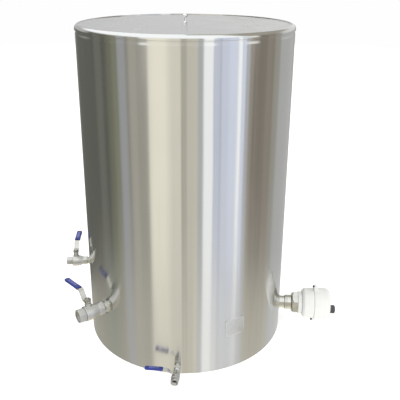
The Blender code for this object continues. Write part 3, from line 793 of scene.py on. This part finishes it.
def shell_distance(place, spot, radius):
    """How far along a fitting's axis the drum's shell lies, beside a spot of it."""
    start = place @ Vector((0, spot.y, spot.z))
    along = place.to_3x3() @ SIDEWAYS
    a = along.x ** 2 + along.y ** 2
    b = start.x * along.x + start.y * along.y
    c = start.x ** 2 + start.y ** 2 - radius ** 2
    return (-b + math.sqrt(b * b - a * c)) / a


def meet_shell(bm, place, end):
    """Fit a pipe's root, which reaches to end along its axis, to the drum's shell."""
    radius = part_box("outer_shell")[1].x
    for vert in bm.verts:
        if vert.co.x < end:
            vert.co.x = shell_distance(place, vert.co, radius) - SINK


def weld_bead(name, place, pipe_radius, finish):
    """A rippled bead where a pipe meets the shell."""
    looks = bpy.context.scene.valve_looks
    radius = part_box("outer_shell")[1].x
    bm = bmesh.new()
    ring = bmesh.ops.create_circle(bm, segments=10, radius=looks.bead)["verts"]
    bmesh.ops.rotate(bm, verts=ring, cent=(0, 0, 0), matrix=Matrix.Rotation(math.pi / 2, 3, "X"))
    bmesh.ops.translate(bm, verts=ring, vec=(0, 0, pipe_radius))
    bmesh.ops.spin(bm, geom=bm.verts[:] + bm.edges[:], axis=SIDEWAYS, cent=(0, 0, 0),
                   angle=math.tau, steps=looks.ripples * 6, use_merge=True)
    for vert in bm.verts:
        angle = math.atan2(vert.co.y, vert.co.z)
        swell = 1.0 + 0.16 * math.sin(angle * looks.ripples)
        pushed(vert, pipe_radius + (off_axis(vert.co) - pipe_radius) * swell)
        vert.co.x = vert.co.x * swell + shell_distance(place, vert.co, radius)
    fixed(added(name, bm, place, 60.0), finish)


def thread_rings(start, end, radius, depth, pitch):
    """Crests and roots of a thread as (place, radius) points; a negative depth cuts
    into a bore."""
    places = [start + turn * pitch for turn in range(max(1, int((end - start) / pitch)))]
    return [(place + pitch * share, radius - depth * deep) for place in places
            for share, deep in ((0.05, 0), (0.45, 1), (0.60, 1), (0.98, 0))]


# Drum

def round_shell(mesh, radius, sheet):
    """Set the long walls' normals square to the drum, so that holes don't dent them."""
    normals = []
    for vert in mesh.vertices:
        out = Vector((vert.co.x, vert.co.y, 0))
        side = out.length
        if abs(side - radius) < 1e-5:
            normals.append(out.normalized())
        elif abs(side - radius + sheet) < 1e-5:
            normals.append(-out.normalized())
        else:
            normals.append(vert.normal.copy())
    mesh.normals_split_custom_set_from_vertices(normals)


def valve_frames(valve):
    """The pipe's frame, and the lever's frame with its X along the lever."""
    joint = JOINTS[valve.lever]
    along = Vector(MOUNTS[valve.mouth]["axis"])
    stem = Vector(joint["axis"])
    return axes(along, UP, joint["pos_m"]), axes(along.cross(stem), stem, joint["pos_m"])


def drum_wall(name, profile, looks, radius, finish, node):
    """Spin a wall and cut the wax valve's way through it."""
    bm = spun(divided(eased(profile, looks.edge, True), 0.06), looks.segments)
    piece = added(name, bm)
    pipe = valve_frames(WAX_VALVE)[0]
    part = Measure(pipe, "wax_valve_nipple")
    hole = part.radius + PLAY
    start = part.start - 0.01
    rod = spun_along([(start, 0), (start, hole), (part.end, hole), (part.end, 0)], 96)
    combined(piece, added("wax_way", rod, pipe))
    round_shell(piece.data, radius, looks.sheet)
    dressed(piece, finish, node)


def drum_shell(looks, radius, steel):
    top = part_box("outer_shell")[1].z
    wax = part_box("wax_valve_nipple")
    foot = top - looks.neck_height
    outside = [(radius, 0), (radius, wax[0].z - MARGIN), (radius, wax[1].z + MARGIN),
               (radius, foot - looks.neck_slope)]
    outside += [(radius - looks.neck_step * smooth(share),
                 foot - looks.neck_slope * (1 - share))
                for share in (step / 8 for step in range(1, 9))]
    outside.append((radius - looks.neck_step, top))
    inside = [(place - looks.sheet, height) for place, height in reversed(outside)]
    drum_wall("drum_sheet", outside + inside, looks, radius, steel, "outer_shell")

    bm = bmesh.new()
    bmesh.ops.create_grid(bm, x_segments=8, y_segments=240, size=0.5)
    for vert in bm.verts:
        across = vert.co.x * looks.seam_width
        height = (vert.co.y + 0.5) * (foot - looks.neck_slope - 2 * looks.edge) + looks.edge
        bulge = math.cos(vert.co.x * math.pi)
        ripple = 1.0 + 0.3 * math.sin(height * 900.0) * bulge
        out = radius + looks.seam_height * (bulge * ripple) - 0.00002
        vert.co = (across, math.sqrt(out * out - across * across), height)
    fixed(added("drum_seam", bm), steel)


def drum_vessel(looks, steel, satin):
    low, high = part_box("top_ring")
    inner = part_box("inner_floor")[1].x + 0.0003
    ring = [(inner, low.z), (high.x, low.z), (high.x, high.z), (inner, high.z)]
    dressed(added("drum_ring", spun(eased(ring, looks.edge, True), looks.segments)), steel,
            "top_ring")

    low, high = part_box("inner_wall")
    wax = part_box("wax_valve_nipple")
    wall = [(inner, low.z), (high.x, low.z), (high.x, wax[0].z - MARGIN),
            (high.x, wax[1].z + MARGIN), (high.x, high.z), (inner, high.z),
            (inner, wax[1].z + MARGIN), (inner, wax[0].z - MARGIN)]
    drum_wall("vessel_sheet", wall, looks, high.x, satin, "inner_wall")

    low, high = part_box("inner_floor")
    edge = high.x
    fillet = looks.floor_fillet * 0.98
    crown = [(0, low.z), (edge, low.z),
             *arc((edge - fillet, high.z + fillet), fillet, -fillet, 0, 90, 8),
             (edge - looks.floor_fillet * 1.6, high.z), (edge * 0.5, high.z), (0, high.z)]
    dressed(added("vessel_bottom", spun(crown, looks.segments)), satin, "inner_floor")
    painted(NODES["base_plate"], satin)


def drum_plate(looks, radius):
    turns = [math.atan2(vertex.co.x, -vertex.co.y)
             for vertex in NODES["label_plate"].data.vertices]
    azimuth = (min(turns) + max(turns)) / 2
    low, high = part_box("label_plate")
    centre = (low.z + high.z) / 2
    half = Vector(((max(turns) - min(turns)) / 2 * radius, (high.z - low.z) / 2))
    corner = looks.plate_corner
    inner = (half.x - corner, half.y - corner)
    bm = bmesh.new()
    bmesh.ops.create_grid(bm, x_segments=40, y_segments=40, size=1.0)
    bmesh.ops.scale(bm, vec=(half.x, half.y, 1.0), verts=bm.verts)
    for vert in bm.verts:
        beyond = Vector([max(0.0, abs(vert.co[axis]) - inner[axis]) for axis in (0, 1)])
        if beyond.length > corner:
            beyond *= corner / beyond.length
            for axis in (0, 1):
                vert.co[axis] = math.copysign(inner[axis] + beyond[axis], vert.co[axis])
    bmesh.ops.recalc_face_normals(bm, faces=bm.faces)
    thickened(bm, (0, 0, 0.0006))
    for vert in bm.verts:
        far = (abs(vert.co.x) / half.x) ** 4 * (abs(vert.co.y) / half.y) ** 4
        out = radius + PLAY + vert.co.z + looks.plate_lift * far
        angle = azimuth + vert.co.x / radius
        vert.co = (out * math.sin(angle), -out * math.cos(angle), centre + vert.co.y)
    away = Vector((math.sin(azimuth), -math.cos(azimuth), 0))
    place = axes(away, UP, away * radius + UP * centre)
    dressed(added("blank_plate", bm), plate_foil(place, half.x, half.y), "label_plate")


class STERILIZER_OT_drum(bpy.types.Operator):
    """Make the drum: its shell, ring, inner vessel, floor and blank plate."""
    bl_idname = "sterilizer.drum"
    bl_label = "Drum"

    def execute(self, context):
        looks = context.scene.drum_looks
        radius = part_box("outer_shell")[1].x
        steel = drum_steel()
        satin = vessel_steel()
        drum_shell(looks, radius, steel)
        drum_vessel(looks, steel, satin)
        drum_plate(looks, radius)
        return {"FINISHED"}


def lid_knob(seat):
    low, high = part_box("lid_knob")
    top = high.z
    profile = [(0, low.z), (0.0024, low.z), (0.0024, seat), (0.0065, seat),
               (0.0065, seat + 0.0016), (0.0052, seat + 0.0028), (0.0034, seat + 0.0042),
               (0.0026, seat + 0.0062), (0.0025, top - 0.0095), (0.0034, top - 0.0082),
               *arc((0, top - 0.004), high.x, 0.004, -55, 90, 12)]
    dressed(added("knob", spun(profile, 64)), chrome(), "lid_knob")

    upright = axes(UP, SIDEWAYS)
    part = Measure(upright, "lid_knob_nut")
    bar = chamfered(part.start, part.end, KNOB_HOLE, part.radius, (0.88, 0.0008),
                    (0.97, 0.0002))
    bm = mill_flats(spun_along(divided(bar, 0.0008), 72), part.flats)
    dressed(added("knob_nut", bm, upright), turned_steel("knob", upright), "lid_knob_nut")


class STERILIZER_OT_lid(bpy.types.Operator):
    """Make the lid: its sheet, rolled rim, centring lip, knob and nut."""
    bl_idname = "sterilizer.lid"
    bl_label = "Lid"

    def execute(self, context):
        looks = context.scene.lid_looks
        segments = context.scene.drum_looks.segments
        steel = lid_steel()
        bright = drum_steel()
        low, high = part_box("lid_rim")
        outer = high.x
        inner = outer - looks.rim_width
        rim = [(inner, low.z), (outer - looks.rim_edge, low.z), (outer, low.z + looks.rim_edge),
               *arc((outer - looks.rim_round, high.z - looks.rim_fall), looks.rim_round,
                    looks.rim_fall, 0, 90, 12), (inner, high.z)]
        dressed(added("lid_roll", spun(rim, segments)), bright, "lid_rim")

        low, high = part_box("lid_plate")
        hole = KNOB_HOLE
        crest = high.z + looks.crown
        sheet = [(hole, low.z), (inner, low.z), (inner, high.z), (inner * 0.97, high.z),
                 (inner * 0.6, high.z + looks.crown * 0.7), (0.02, crest), (hole, crest)]
        dressed(added("lid_sheet", spun(sheet, segments)), steel, "lid_plate")
        seat = high.z

        low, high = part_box("lid_lip")
        thick = high.x - context.scene.drum_looks.sheet
        lip = [(thick, low.z), (high.x, low.z), (high.x, high.z), (thick, high.z)]
        dressed(added("lid_collar", spun(eased(lip, 0.0006, True), segments)), vessel_steel(),
                "lid_lip")
        lid_knob(seat)
        return {"FINISHED"}


# Valves

def valve_pipe(name, looks, pipe, turned):
    part = Measure(pipe, f"{name}_nipple")
    inlet = Measure(pipe, f"{name}_body").start + 0.003
    pitch, depth = looks.thread_pitch, looks.thread_depth
    rings = thread_rings(part.end - 3 * pitch, part.end, part.radius, depth, pitch)
    profile = [(part.start, part.bore), (part.start, part.radius), *rings,
               (inlet, part.radius - depth), (inlet, part.bore)]
    bm = spun_along(profile, looks.segments)
    if name != WAX_VALVE.name:
        meet_shell(bm, pipe, part.start + 1e-5)
    dressed(added(f"{name}_pipe", bm, pipe), turned, f"{name}_nipple")
    weld_bead(f"{name}_weld", pipe, part.radius, turned)


def valve_casting(name, looks, pipe, lever, cast):
    node = f"{name}_body"
    part = Measure(pipe, node)
    start, end = part.start, part.end
    inlet = [off_axis(point) for point in part.points if point.x < start + 0.004]
    port = min(inlet)
    flats = FLATS * max(inlet)
    upper = Measure(lever, node)
    neck_top = upper.span(2)[1]
    belly = -min(point.z for point in upper.points if abs(point.y) < 0.01)
    neck = max(off_stem(point) for point in upper.points if point.z > neck_top - 0.0025)
    hex_end = start + 0.667 * belly
    waist = flats / 2 * 0.97
    body = [(start + 0.001, 0), (start + 0.001, waist - 0.001), (hex_end, waist),
            (-0.55 * belly, belly * 0.955), (-0.2 * belly, belly), (end - 0.001, belly),
            (end - 0.0002, belly - 0.001), (end - 0.0002, 0)]
    casting = added(f"{name}_casting", spun_along(eased(body, 0.004), 96), pipe)
    seat = hex_end - 0.0006
    slope = flats * 0.04
    nut = chamfered(start, seat, 0, flats * 0.577, (0.5 / 0.577, slope),
                    (0.52 / 0.577, slope))
    bar = mill_flats(spun_along(divided(nut, 0.001), 144), flats)
    combined(casting, added("inlet_hex", bar, pipe), "UNION")
    stalk = [(0, belly * 0.3), (neck, belly * 0.3), (neck, neck_top - 0.0008),
             (neck - 0.0008, neck_top), (0, neck_top)]
    combined(casting, added("neck", spun(stalk, 72), lever), "UNION")
    modified(casting, "REMESH", mode="VOXEL", voxel_size=looks.voxel,
             use_smooth_shade=True)
    modified(casting, "SMOOTH", factor=0.5, iterations=5)
    settled(casting)
    low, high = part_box(f"{name}_ball")
    cavity = (high.z - low.z) / 2 + 0.0015
    reach = math.sqrt(max(0.0, cavity ** 2 - port ** 2))
    dome = arc((0, 0), cavity, cavity, 180, 90, 8)[1:]
    hollow = [(start - 0.002, 0), (start - 0.002, port), (-reach, port),
              *((place, out) for place, out in dome if out > port),
              (end + 0.002, cavity), (end + 0.002, 0)]
    combined(casting, added("hollow", spun_along(hollow, 72), pipe))
    smoothed(casting.data, 40)
    dressed(casting, cast, node)


def valve_mouth(name, looks, pipe, cast):
    node = f"{name}_outlet"
    part = Measure(pipe, node)
    start, end, corner, flats = part.start, part.end, part.radius, part.flats
    mouth = min(off_axis(point) for point in part.points if point.x > end - 0.001)
    foot = min(point.x for point in part.points if point.x > start + 0.002
               and mouth - 0.0004 < off_axis(point) < mouth + 0.0004)
    rings = thread_rings(foot + 0.001, end - 0.0015, mouth, -looks.thread_depth,
                         looks.thread_pitch)
    slope = corner - flats / 2
    profile = [(start, part.bore), (start, corner * 0.95), (start + slope * 0.6, corner),
               (end - slope, corner), (end, flats * 0.5), (end, mouth + 0.0012),
               (end - 0.0012, mouth), *reversed(rings), (foot, mouth), (foot, part.bore)]
    dressed(milled(f"{name}_mouth", profile, 0.0014, 144, flats, pipe, 0.00025), cast, node)


def valve_ball(name, lever):
    node = f"{name}_ball"
    part = Measure(lever, node)
    bm = bmesh.new()
    bmesh.ops.create_uvsphere(bm, u_segments=64, v_segments=32, radius=part.end)
    ball = added(f"{name}_globe", bm, lever)
    reach = part.end * 1.2
    bore = [(-reach, 0), (-reach, part.bore), (reach, part.bore), (reach, 0)]
    combined(ball, added("bore", spun_along(bore, 64), lever))
    ball.data.set_sharp_from_angle(angle=math.radians(35))
    dressed(ball, chrome(), node)


def valve_stem(name, lever):
    upright = lever @ axes(UP, SIDEWAYS)
    turned = turned_steel(f"{name}_stem", upright, 0.68)
    part = Measure(upright, f"{name}_stem")
    foot, top, wide = part.start, part.end, part.radius
    thin = max(off_axis(point) for point in part.points if point.x > top - 0.001)
    shoulder = max(point.x for point in part.points if off_axis(point) > wide * 0.95)
    rings = thread_rings(shoulder + 0.001, top - 0.0006, thin, thin * 0.14, 0.0009)
    rod = [(foot, 0), (foot, wide), (shoulder, wide), (shoulder, thin), *rings,
           (top - 0.0004, thin * 0.9), (top, thin * 0.7), (top, 0)]
    lathe(f"{name}_spindle", rod, 48, upright, turned, f"{name}_stem")

    part = Measure(upright, f"{name}_lever_nut")
    bar = chamfered(*part.size, (0.93, part.radius * 0.06), (0.84, part.radius * 0.12))
    nut = milled(f"{name}_cap_nut", bar, 0.0006, 72, part.flats, upright, 0.0002,
                 part.bore * 1.1)
    dressed(nut, turned, f"{name}_lever_nut")


def valve_lever(name, lever):
    node = f"{name}_lever"
    part = Measure(lever, node)
    points = part.points
    low, crest = part.span(2)
    eye = part.span(1)[1]
    thick = min(point.z for point in points if point.z > low + 0.0005) - low
    bend_start = max(point.x for point in points if point.z < low + 0.0003)
    bend_end = min(point.x for point in points if point.z > crest - 0.0003)
    width = max(point.y for point in points if point.x > bend_end - 0.001)
    rise = crest - thick - low
    neck = bend_start * 0.75
    stations = arc((0, 0), -eye, eye, 6, 90, 12)
    stations += [(neck * step / 6, eye + (width - eye) * step / 6) for step in range(1, 7)]
    stations += [(neck + (part.end - neck) * step / 24, width) for step in range(1, 25)]
    bm = bmesh.new()
    ends = [bm.verts.new((0, side, 0)) for side in (-1, 1)]
    edges = [bm.edges.new(ends)]
    for index, (place, half) in enumerate(stations):
        if index:
            ends, edges = drawn_on(bm, edges)
        share = min(1.0, max(0.0, (place - bend_start) / (bend_end - bend_start)))
        for end in ends:
            end.co = (place, math.copysign(half, end.co.y), low + rise * smooth(share))
    thickened(bm, (0, 0, thick))
    strap = bevelled(added(f"{name}_handle", bm, lever, 40.0), thick * 0.16, 2, 50.0)
    dressed(strap, turned_steel(node, lever @ axes((0, 1, 0), UP), 0.92), node)


def valve_grip(name, lever):
    part = Measure(lever, f"{name}_grip")
    start, end = part.start, part.end
    side = part.span(1)[1]
    low, high = part.span(2)
    length = end - start
    bm = bmesh.new()
    ring = bmesh.ops.create_circle(bm, segments=40, radius=1.0)["verts"]
    bmesh.ops.rotate(bm, verts=ring, cent=(0, 0, 0),
                     matrix=Matrix.Rotation(math.pi / 2, 3, "Y"))
    shapes = [[math.copysign(abs(value) ** 0.62, value) for value in vert.co.yz]
              for vert in ring]
    stations = [(0.0, 0.80), (0.0015, 0.93), (0.004, 1.0)]
    stations += [(0.004 + (length - 0.012) * share, 1.0 - 0.05 * math.sin(math.pi * share))
                 for share in (step / 14 for step in range(1, 15))]
    stations += [(length - back, share) for back, share in
                 ((0.0055, 0.97), (0.0032, 0.89), (0.0014, 0.74), (0.0003, 0.50), (0, 0.30))]
    edges = list(bm.edges)
    for index, (place, share) in enumerate(stations):
        if index:
            ring, edges = drawn_on(bm, edges)
        wide = side * (0.35 + 0.65 * share if share < 0.8 else share)
        for vert, (across, up) in zip(ring, shapes):
            vert.co = (start + place, across * wide,
                       (low + high) / 2 + up * (high - low) / 2 * share)
    bmesh.ops.holes_fill(bm, edges=[edge for edge in bm.edges if edge.is_boundary], sides=0)
    bars = (start + length * 0.22, end - length * 0.22, side * 0.55, high)
    dressed(added(f"{name}_sleeve", bm, lever, 50.0), blue_vinyl(name, lever, bars),
            f"{name}_grip")


class STERILIZER_OT_valves(bpy.types.Operator):
    """Make the three ball valves, with their pipes, levers and grips."""
    bl_idname = "sterilizer.valves"
    bl_label = "Valves"

    def execute(self, context):
        looks = context.scene.valve_looks
        for valve in VALVES:
            pipe, lever = valve_frames(valve)
            turned = turned_steel(valve.name, pipe)
            cast = cast_steel(valve.name, pipe)
            valve_pipe(valve.name, looks, pipe, turned)
            valve_casting(valve.name, looks, pipe, lever, cast)
            valve_mouth(valve.name, looks, pipe, cast)
            valve_ball(valve.name, lever)
            valve_stem(valve.name, lever)
            valve_lever(valve.name, lever)
            valve_grip(valve.name, lever)
        return {"FINISHED"}


# Heater

def heater_steel(place, turned):
    start, end, bore, radius = Measure(place, "heater_stub").size
    pipe = [(start, bore), (end, bore), (end, radius), (start, radius)]
    bm = spun_along(eased(pipe, 0.0006, True), 96)
    meet_shell(bm, place, start + 0.002)
    dressed(added("heater_pipe", bm, place), turned, "heater_stub")
    weld_bead("heater_weld", place, radius, turned)

    start, end, bore, radius = Measure(place, "heater_socket").size
    ring = [(start, bore), (start, radius * 0.92), (start + 0.0016, radius),
            (start + 0.006, radius), (start + 0.0066, radius - 0.0006),
            (start + 0.0074, radius - 0.0006), (start + 0.008, radius),
            (end - 0.0016, radius), (end, radius * 0.92), (end, bore)]
    lathe("heater_ring", eased(ring, 0.0005, True), 96, place, turned, "heater_socket")

    part = Measure(place, "heater_hex")
    start, end, corner, flats = part.start, part.end, part.radius, part.flats
    slope = corner - flats / 2
    bar = [(start, 0), (start, flats * 0.46), (start + slope * 1.3, corner),
           (end, corner), (end, 0)]
    piece = milled("heater_hexagon", bar, 0.0015, 144, flats, place, 0.0005, steps=3)
    dressed(piece, turned, "heater_hex")


def heater_housings(looks, place, white, dark):
    edge = looks.edge
    start, end, _, radius = Measure(place, "heater_collar").size
    ring = [(start, 0), (start, radius), (end, radius), (end, 0)]
    lathe("heater_neck", eased(ring, edge), looks.segments, place, white, "heater_collar")

    start, end, _, radius = Measure(place, "heater_rear_housing").size
    rear = [(start, 0), (start, radius - 0.0075), (start + 0.006, radius - 0.0012),
            (end - 0.004, radius), (end - 0.0012, radius - 0.0002),
            (end, radius - looks.seam - 0.0008), (end, 0)]
    lathe("heater_back", eased(rear, edge), looks.segments, place, white,
          "heater_rear_housing")

    part = Measure(place, "heater_front_housing")
    start, end, points = part.start, part.end, part.points
    radius = max(off_axis(point) for point in points if abs(point.y) > abs(point.z))
    face = max(off_axis(point) for point in points if point.x > end - 0.001)
    shoulder = max(point.x for point in points if off_axis(point) > radius - 0.0005)
    front = [(start, 0), (start, radius - looks.seam - 0.0008),
             (start + 0.0012, radius - 0.0002), (start + 0.003, radius),
             (shoulder, radius), (end, face), (end, face * 0.82),
             (end - 0.0008, face * 0.79), (end - 0.0008, 0)]
    housing = added("heater_front", spun_along(eased(front, edge), looks.segments), place)
    for side, word in ((1, "top"), (-1, "bottom")):
        boss = heater_ear(start, radius - 0.006, part.span(2)[1], side)
        combined(housing, added("ear", boss, place), "UNION")
        heater_screw(word, place, dark)
    smoothed(housing.data, 34)
    dressed(housing, white, "heater_front_housing")


def heater_ear(start, root, reach, side):
    """A screw boss that runs out along the front housing."""
    outline = [(start, root), (start, reach - 0.002), (start + 0.002, reach),
               (start + 0.0065, reach - 0.0008), (start + 0.018, root)]
    bm = bmesh.new()
    bm.faces.new([bm.verts.new((x, -0.007, side * z)) for x, z in outline])
    thickened(bm, (0, 0.014, 0))
    bmesh.ops.recalc_face_normals(bm, faces=bm.faces)
    bmesh.ops.bevel(bm, geom=[edge for edge in bm.edges if edge.calc_face_angle(0) > 0.2],
                    offset=0.0016, offset_type="OFFSET", segments=3, profile=0.5,
                    affect="EDGES", material=-1)
    return bm


def heater_screw(word, place, dark):
    node = f"heater_screw_{word}"
    part = Measure(place, node)
    start, end = part.start, part.end
    low, high = part.span(2)
    radius = (high - low) / 2
    head = [(start, 0), (start, radius * 0.5), (start + 0.0005, radius * 0.85),
            (start + 0.0015, radius), (end, radius), (end, 0)]
    slot = bmesh.new()
    bmesh.ops.create_cube(slot, size=1.0)
    bmesh.ops.scale(slot, vec=(0.003, radius * 1.3, 0.0010), verts=slot.verts)
    bmesh.ops.translate(slot, vec=(start, 0, 0), verts=slot.verts)
    here = place @ Matrix.Translation((0, 0, (low + high) / 2))
    screw = added(f"heater_bolt_{word}", spun_along(eased(head, 0.0004), 40), here)
    combined(screw, added("slot", slot, here))
    dressed(screw, dark, node)


def heater_gland(looks, place, dark):
    place = place @ Matrix.Translation((0, 0, sum(Measure(place, "gland_nut").span(2)) / 2))
    part = Measure(place, "gland_collar")
    bar = chamfered(*part.size, (0.96, 0.001), (0.9, 0.0012))
    dressed(milled("gland_flange", bar, 0.001, 96, part.flats, place, 0.0003), dark,
            "gland_collar")

    start, end, bore, radius = Measure(place, "gland_nut").size
    turn = 0.0045
    dome = [(start, bore), (start, radius), (end - turn, radius),
            *arc((end - turn, radius - turn), turn, turn, 80, 0, 8), (end, bore)]
    bm = spun_along(divided(dome, 0.0015), looks.ribs * 8)
    for vert in bm.verts:
        out = off_axis(vert.co)
        if out > radius * 0.8 and vert.co.x > start + 0.0008:
            wave = math.cos(looks.ribs * math.atan2(vert.co.y, vert.co.z))
            pushed(vert, out * (1.0 - 0.035 * (0.5 + 0.5 * wave)))
    dressed(added("gland_dome", bm, place), dark, "gland_nut")

    start, end, hole, radius = Measure(place, "gland_seal").size
    seal = [(start, hole), (start, radius), (end - 0.0005, radius), (end, radius - 0.0008),
            (end - 0.0006, hole + 0.0004)]
    lathe("gland_grommet", eased(seal, 0.0003, True), 64, place, gland_rubber(), "gland_seal")


class STERILIZER_OT_heater(bpy.types.Operator):
    """Make the heater: its pipe, socket, hexagon, white housings and cable gland."""
    bl_idname = "sterilizer.heater"
    bl_label = "Heater"

    def execute(self, context):
        looks = context.scene.heater_looks
        points = [vertex.co for vertex in NODES["heater_hex"].data.vertices]
        low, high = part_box("heater_hex")
        origin = sum(points, Vector()) / len(points)
        origin.z = (low.z + high.z) / 2
        place = axes(MOUNTS["cable_entry"]["axis"], UP, origin)
        turned = turned_steel("heater", place)
        white = white_plastic()
        dark = dark_plastic()
        heater_steel(place, turned)
        heater_housings(looks, place, white, dark)
        heater_gland(looks, place, dark)
        return {"FINISHED"}


# Stage

def stage_floor(looks):
    bm = bmesh.new()
    bmesh.ops.create_circle(bm, cap_ends=True, radius=looks.floor_radius, segments=128)
    floor = added("floor", bm)
    finish = Finish("floor_pale", looks.floor, 0.9, Emission_Color=(1.0, 1.0, 1.0, 1.0),
                    Emission_Strength=looks.floor_glow)
    floor.data.materials.append(finish.material)
    floor.visible_glossy = False


def stage_studio(scene):
    world = bpy.data.worlds.new("studio")
    world.use_nodes = True
    scene.world = world
    nodes = Nodes(world.node_tree)
    direction = nodes.add("ShaderNodeTexCoord").outputs["Generated"]
    x, y, z = [Reading(nodes, socket) for socket in
               nodes.add("ShaderNodeSeparateXYZ", {}, {0: direction}).outputs]
    elevation = z.maths("ARCSINE", z) * math.degrees(1)
    low = 1 - elevation.rise(*FLOOR_ENDS)
    azimuth = x.maths("ARCTAN2", x, 0 - y) * math.degrees(1)
    front = studio_cards(nodes, azimuth, low, FRONT_CARDS)
    rear = studio_cards(nodes, x.maths("ARCTAN2", x, y) * math.degrees(1), low, REAR_CARDS)
    mirrored = nodes.blend(y.rise(0.82, 0.97), front, rear)
    for lamp in LAMPS:
        beam = 1 - (azimuth - lamp.azimuth).size().rise(lamp.half_width - 3.0,
                                                       lamp.half_width + 4.0)
        mirrored = nodes.blend(beam * elevation.rise(*LAMPS_BEGIN) * 0.8, mirrored,
                               shown("plain", LAMP))
    steep = 1 - elevation.rise(*NEAR_FLOOR_ENDS)
    mirrored = nodes.blend(steep, mirrored, shown("warm", NEAR_FLOOR))

    level = nodes.blend(x.rise(-0.3, 0.3), shown("plain", HORIZON_LEFT),
                        shown("plain", HORIZON_RIGHT))
    mirrored = nodes.blend(elevation.rise(*LEVEL_BEGINS) * y.rise(0.3, 0.6), mirrored, level)
    lit = 1 - azimuth.rise(60, 74)
    sky = nodes.blend(lit.larger(elevation.rise(*ZENITH_BEGINS) * 0.8),
                      shown("warm", DULL_SKY), shown("grey", LIT_SKY))
    mirrored = nodes.blend(elevation.rise(*SKY_BEGINS), mirrored, sky)

    room = nodes.blend(z.rise(-0.25, 0.1) * (1 - y.rise(-0.2, 0.9) * 0.35),
                       (0.42, 0.42, 0.42), (1.04, 1.04, 1.03))
    path = nodes.add("ShaderNodeLightPath")
    seen = nodes.blend(Reading(nodes, path.outputs["Is Glossy Ray"]), room, mirrored)
    seen = nodes.blend(Reading(nodes, path.outputs["Is Camera Ray"]), seen,
                       tint(254, 254, 254))
    nodes.fill(world.node_tree.nodes["Background"].inputs["Color"], seen)


def studio_cards(nodes, azimuth, low, cards):
    """The wall that the cards make, and below it the floor before them."""
    wall = shown(cards[0].hue, cards[0].wall)
    ground = shown("warm", cards[0].floor)
    for card in cards[1:]:
        mask = (azimuth.rise(card.start - card.softness, card.start + card.softness)
                * (1 - azimuth.rise(card.end - card.softness, card.end + card.softness)))
        wall = nodes.blend(mask, wall, shown(card.hue, card.wall))
        hue = FLOOR_HUES.get(card.hue, "warm")
        ground = nodes.blend(mask, ground, shown(hue, card.floor))
    return nodes.blend(low, wall, ground)


def shown(hue, brightness):
    """The colour that makes the drum's steel show this hue and brightness."""
    steel = bpy.context.scene.drum_looks.steel
    wanted = tint(*(part * brightness for part in HUES[hue]))
    return tuple(light / part for light, part in zip(wanted, steel))


def stage_lamps(scene):
    for name, place, size, power in (("key", (-1.6, -2.4, 3.0), 2.4, 26.0),
                                     ("fill", (2.6, -1.4, 2.2), 2.0, 12.0)):
        lamp = bpy.data.lights.new(name, "AREA")
        lamp.size = size
        lamp.energy = power
        item = bpy.data.objects.new(name, lamp)
        item.location = place
        item.rotation_euler = (Vector((0, 0, 0.4)) - item.location).to_track_quat(
            "-Z", "Y").to_euler()
        item.visible_glossy = False
        item.visible_camera = False
        scene.collection.objects.link(item)


def stage_camera(scene, looks):
    lens = bpy.data.cameras.new("camera")
    lens.lens = looks.lens
    lens.sensor_width = 36.0
    lens.shift_y = looks.shift
    lens.clip_start = 0.05
    camera = bpy.data.objects.new("camera", lens)
    camera.matrix_world = (Matrix.Translation(looks.camera) @ Matrix.Rotation(-looks.yaw, 4, "Z")
                           @ Matrix.Rotation(math.pi / 2 - looks.pitch, 4, "X")
                           @ Matrix.Rotation(looks.roll, 4, "Z"))
    scene.collection.objects.link(camera)
    scene.camera = camera


class STERILIZER_OT_stage(bpy.types.Operator):
    """Set the pale floor, the studio that the steel mirrors, the lamps and the camera."""
    bl_idname = "sterilizer.stage"
    bl_label = "Stage"

    def execute(self, context):
        looks = context.scene.stage_looks
        stage_floor(looks)
        stage_studio(context.scene)
        stage_lamps(context.scene)
        stage_camera(context.scene, looks)
        context.scene.view_settings.view_transform = "Standard"
        return {"FINISHED"}


# Panel and registration

class STERILIZER_PT_looks(bpy.types.Panel):
    """Lists the steps that dress the sterilizer, with their sizes and colours."""
    bl_idname = "STERILIZER_PT_looks"
    bl_label = "Wax sterilizer"
    bl_space_type = "VIEW_3D"
    bl_region_type = "UI"
    bl_category = "Sterilizer"

    def draw(self, context):
        for operator, group in STEPS:
            box = self.layout.box()
            box.operator(operator.bl_idname)
            looks = getattr(context.scene, group)
            for name in type(looks).__annotations__:
                box.prop(looks, name)


GROUPS = (
    ("drum_looks", DrumLooks),
    ("lid_looks", LidLooks),
    ("valve_looks", ValveLooks),
    ("heater_looks", HeaterLooks),
    ("stage_looks", StageLooks),
)
STEPS = (
    (STERILIZER_OT_drum, "drum_looks"),
    (STERILIZER_OT_lid, "lid_looks"),
    (STERILIZER_OT_valves, "valve_looks"),
    (STERILIZER_OT_heater, "heater_looks"),
    (STERILIZER_OT_stage, "stage_looks"),
)
CLASSES = (
    *(group for name, group in GROUPS),
    *(operator for operator, group in STEPS),
    STERILIZER_PT_looks,
)


def register():
    for item in CLASSES:
        bpy.utils.register_class(item)
    for name, group in GROUPS:
        setattr(bpy.types.Scene, name, PointerProperty(type=group))


def unregister():
    for name, group in GROUPS:
        delattr(bpy.types.Scene, name)
    for item in reversed(CLASSES):
        bpy.utils.unregister_class(item)


def main():
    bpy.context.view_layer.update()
    register()
    bpy.ops.sterilizer.drum()
    bpy.ops.sterilizer.lid()
    bpy.ops.sterilizer.valves()
    bpy.ops.sterilizer.heater()
    bpy.ops.sterilizer.stage()


if __name__ == "__main__":
    main()
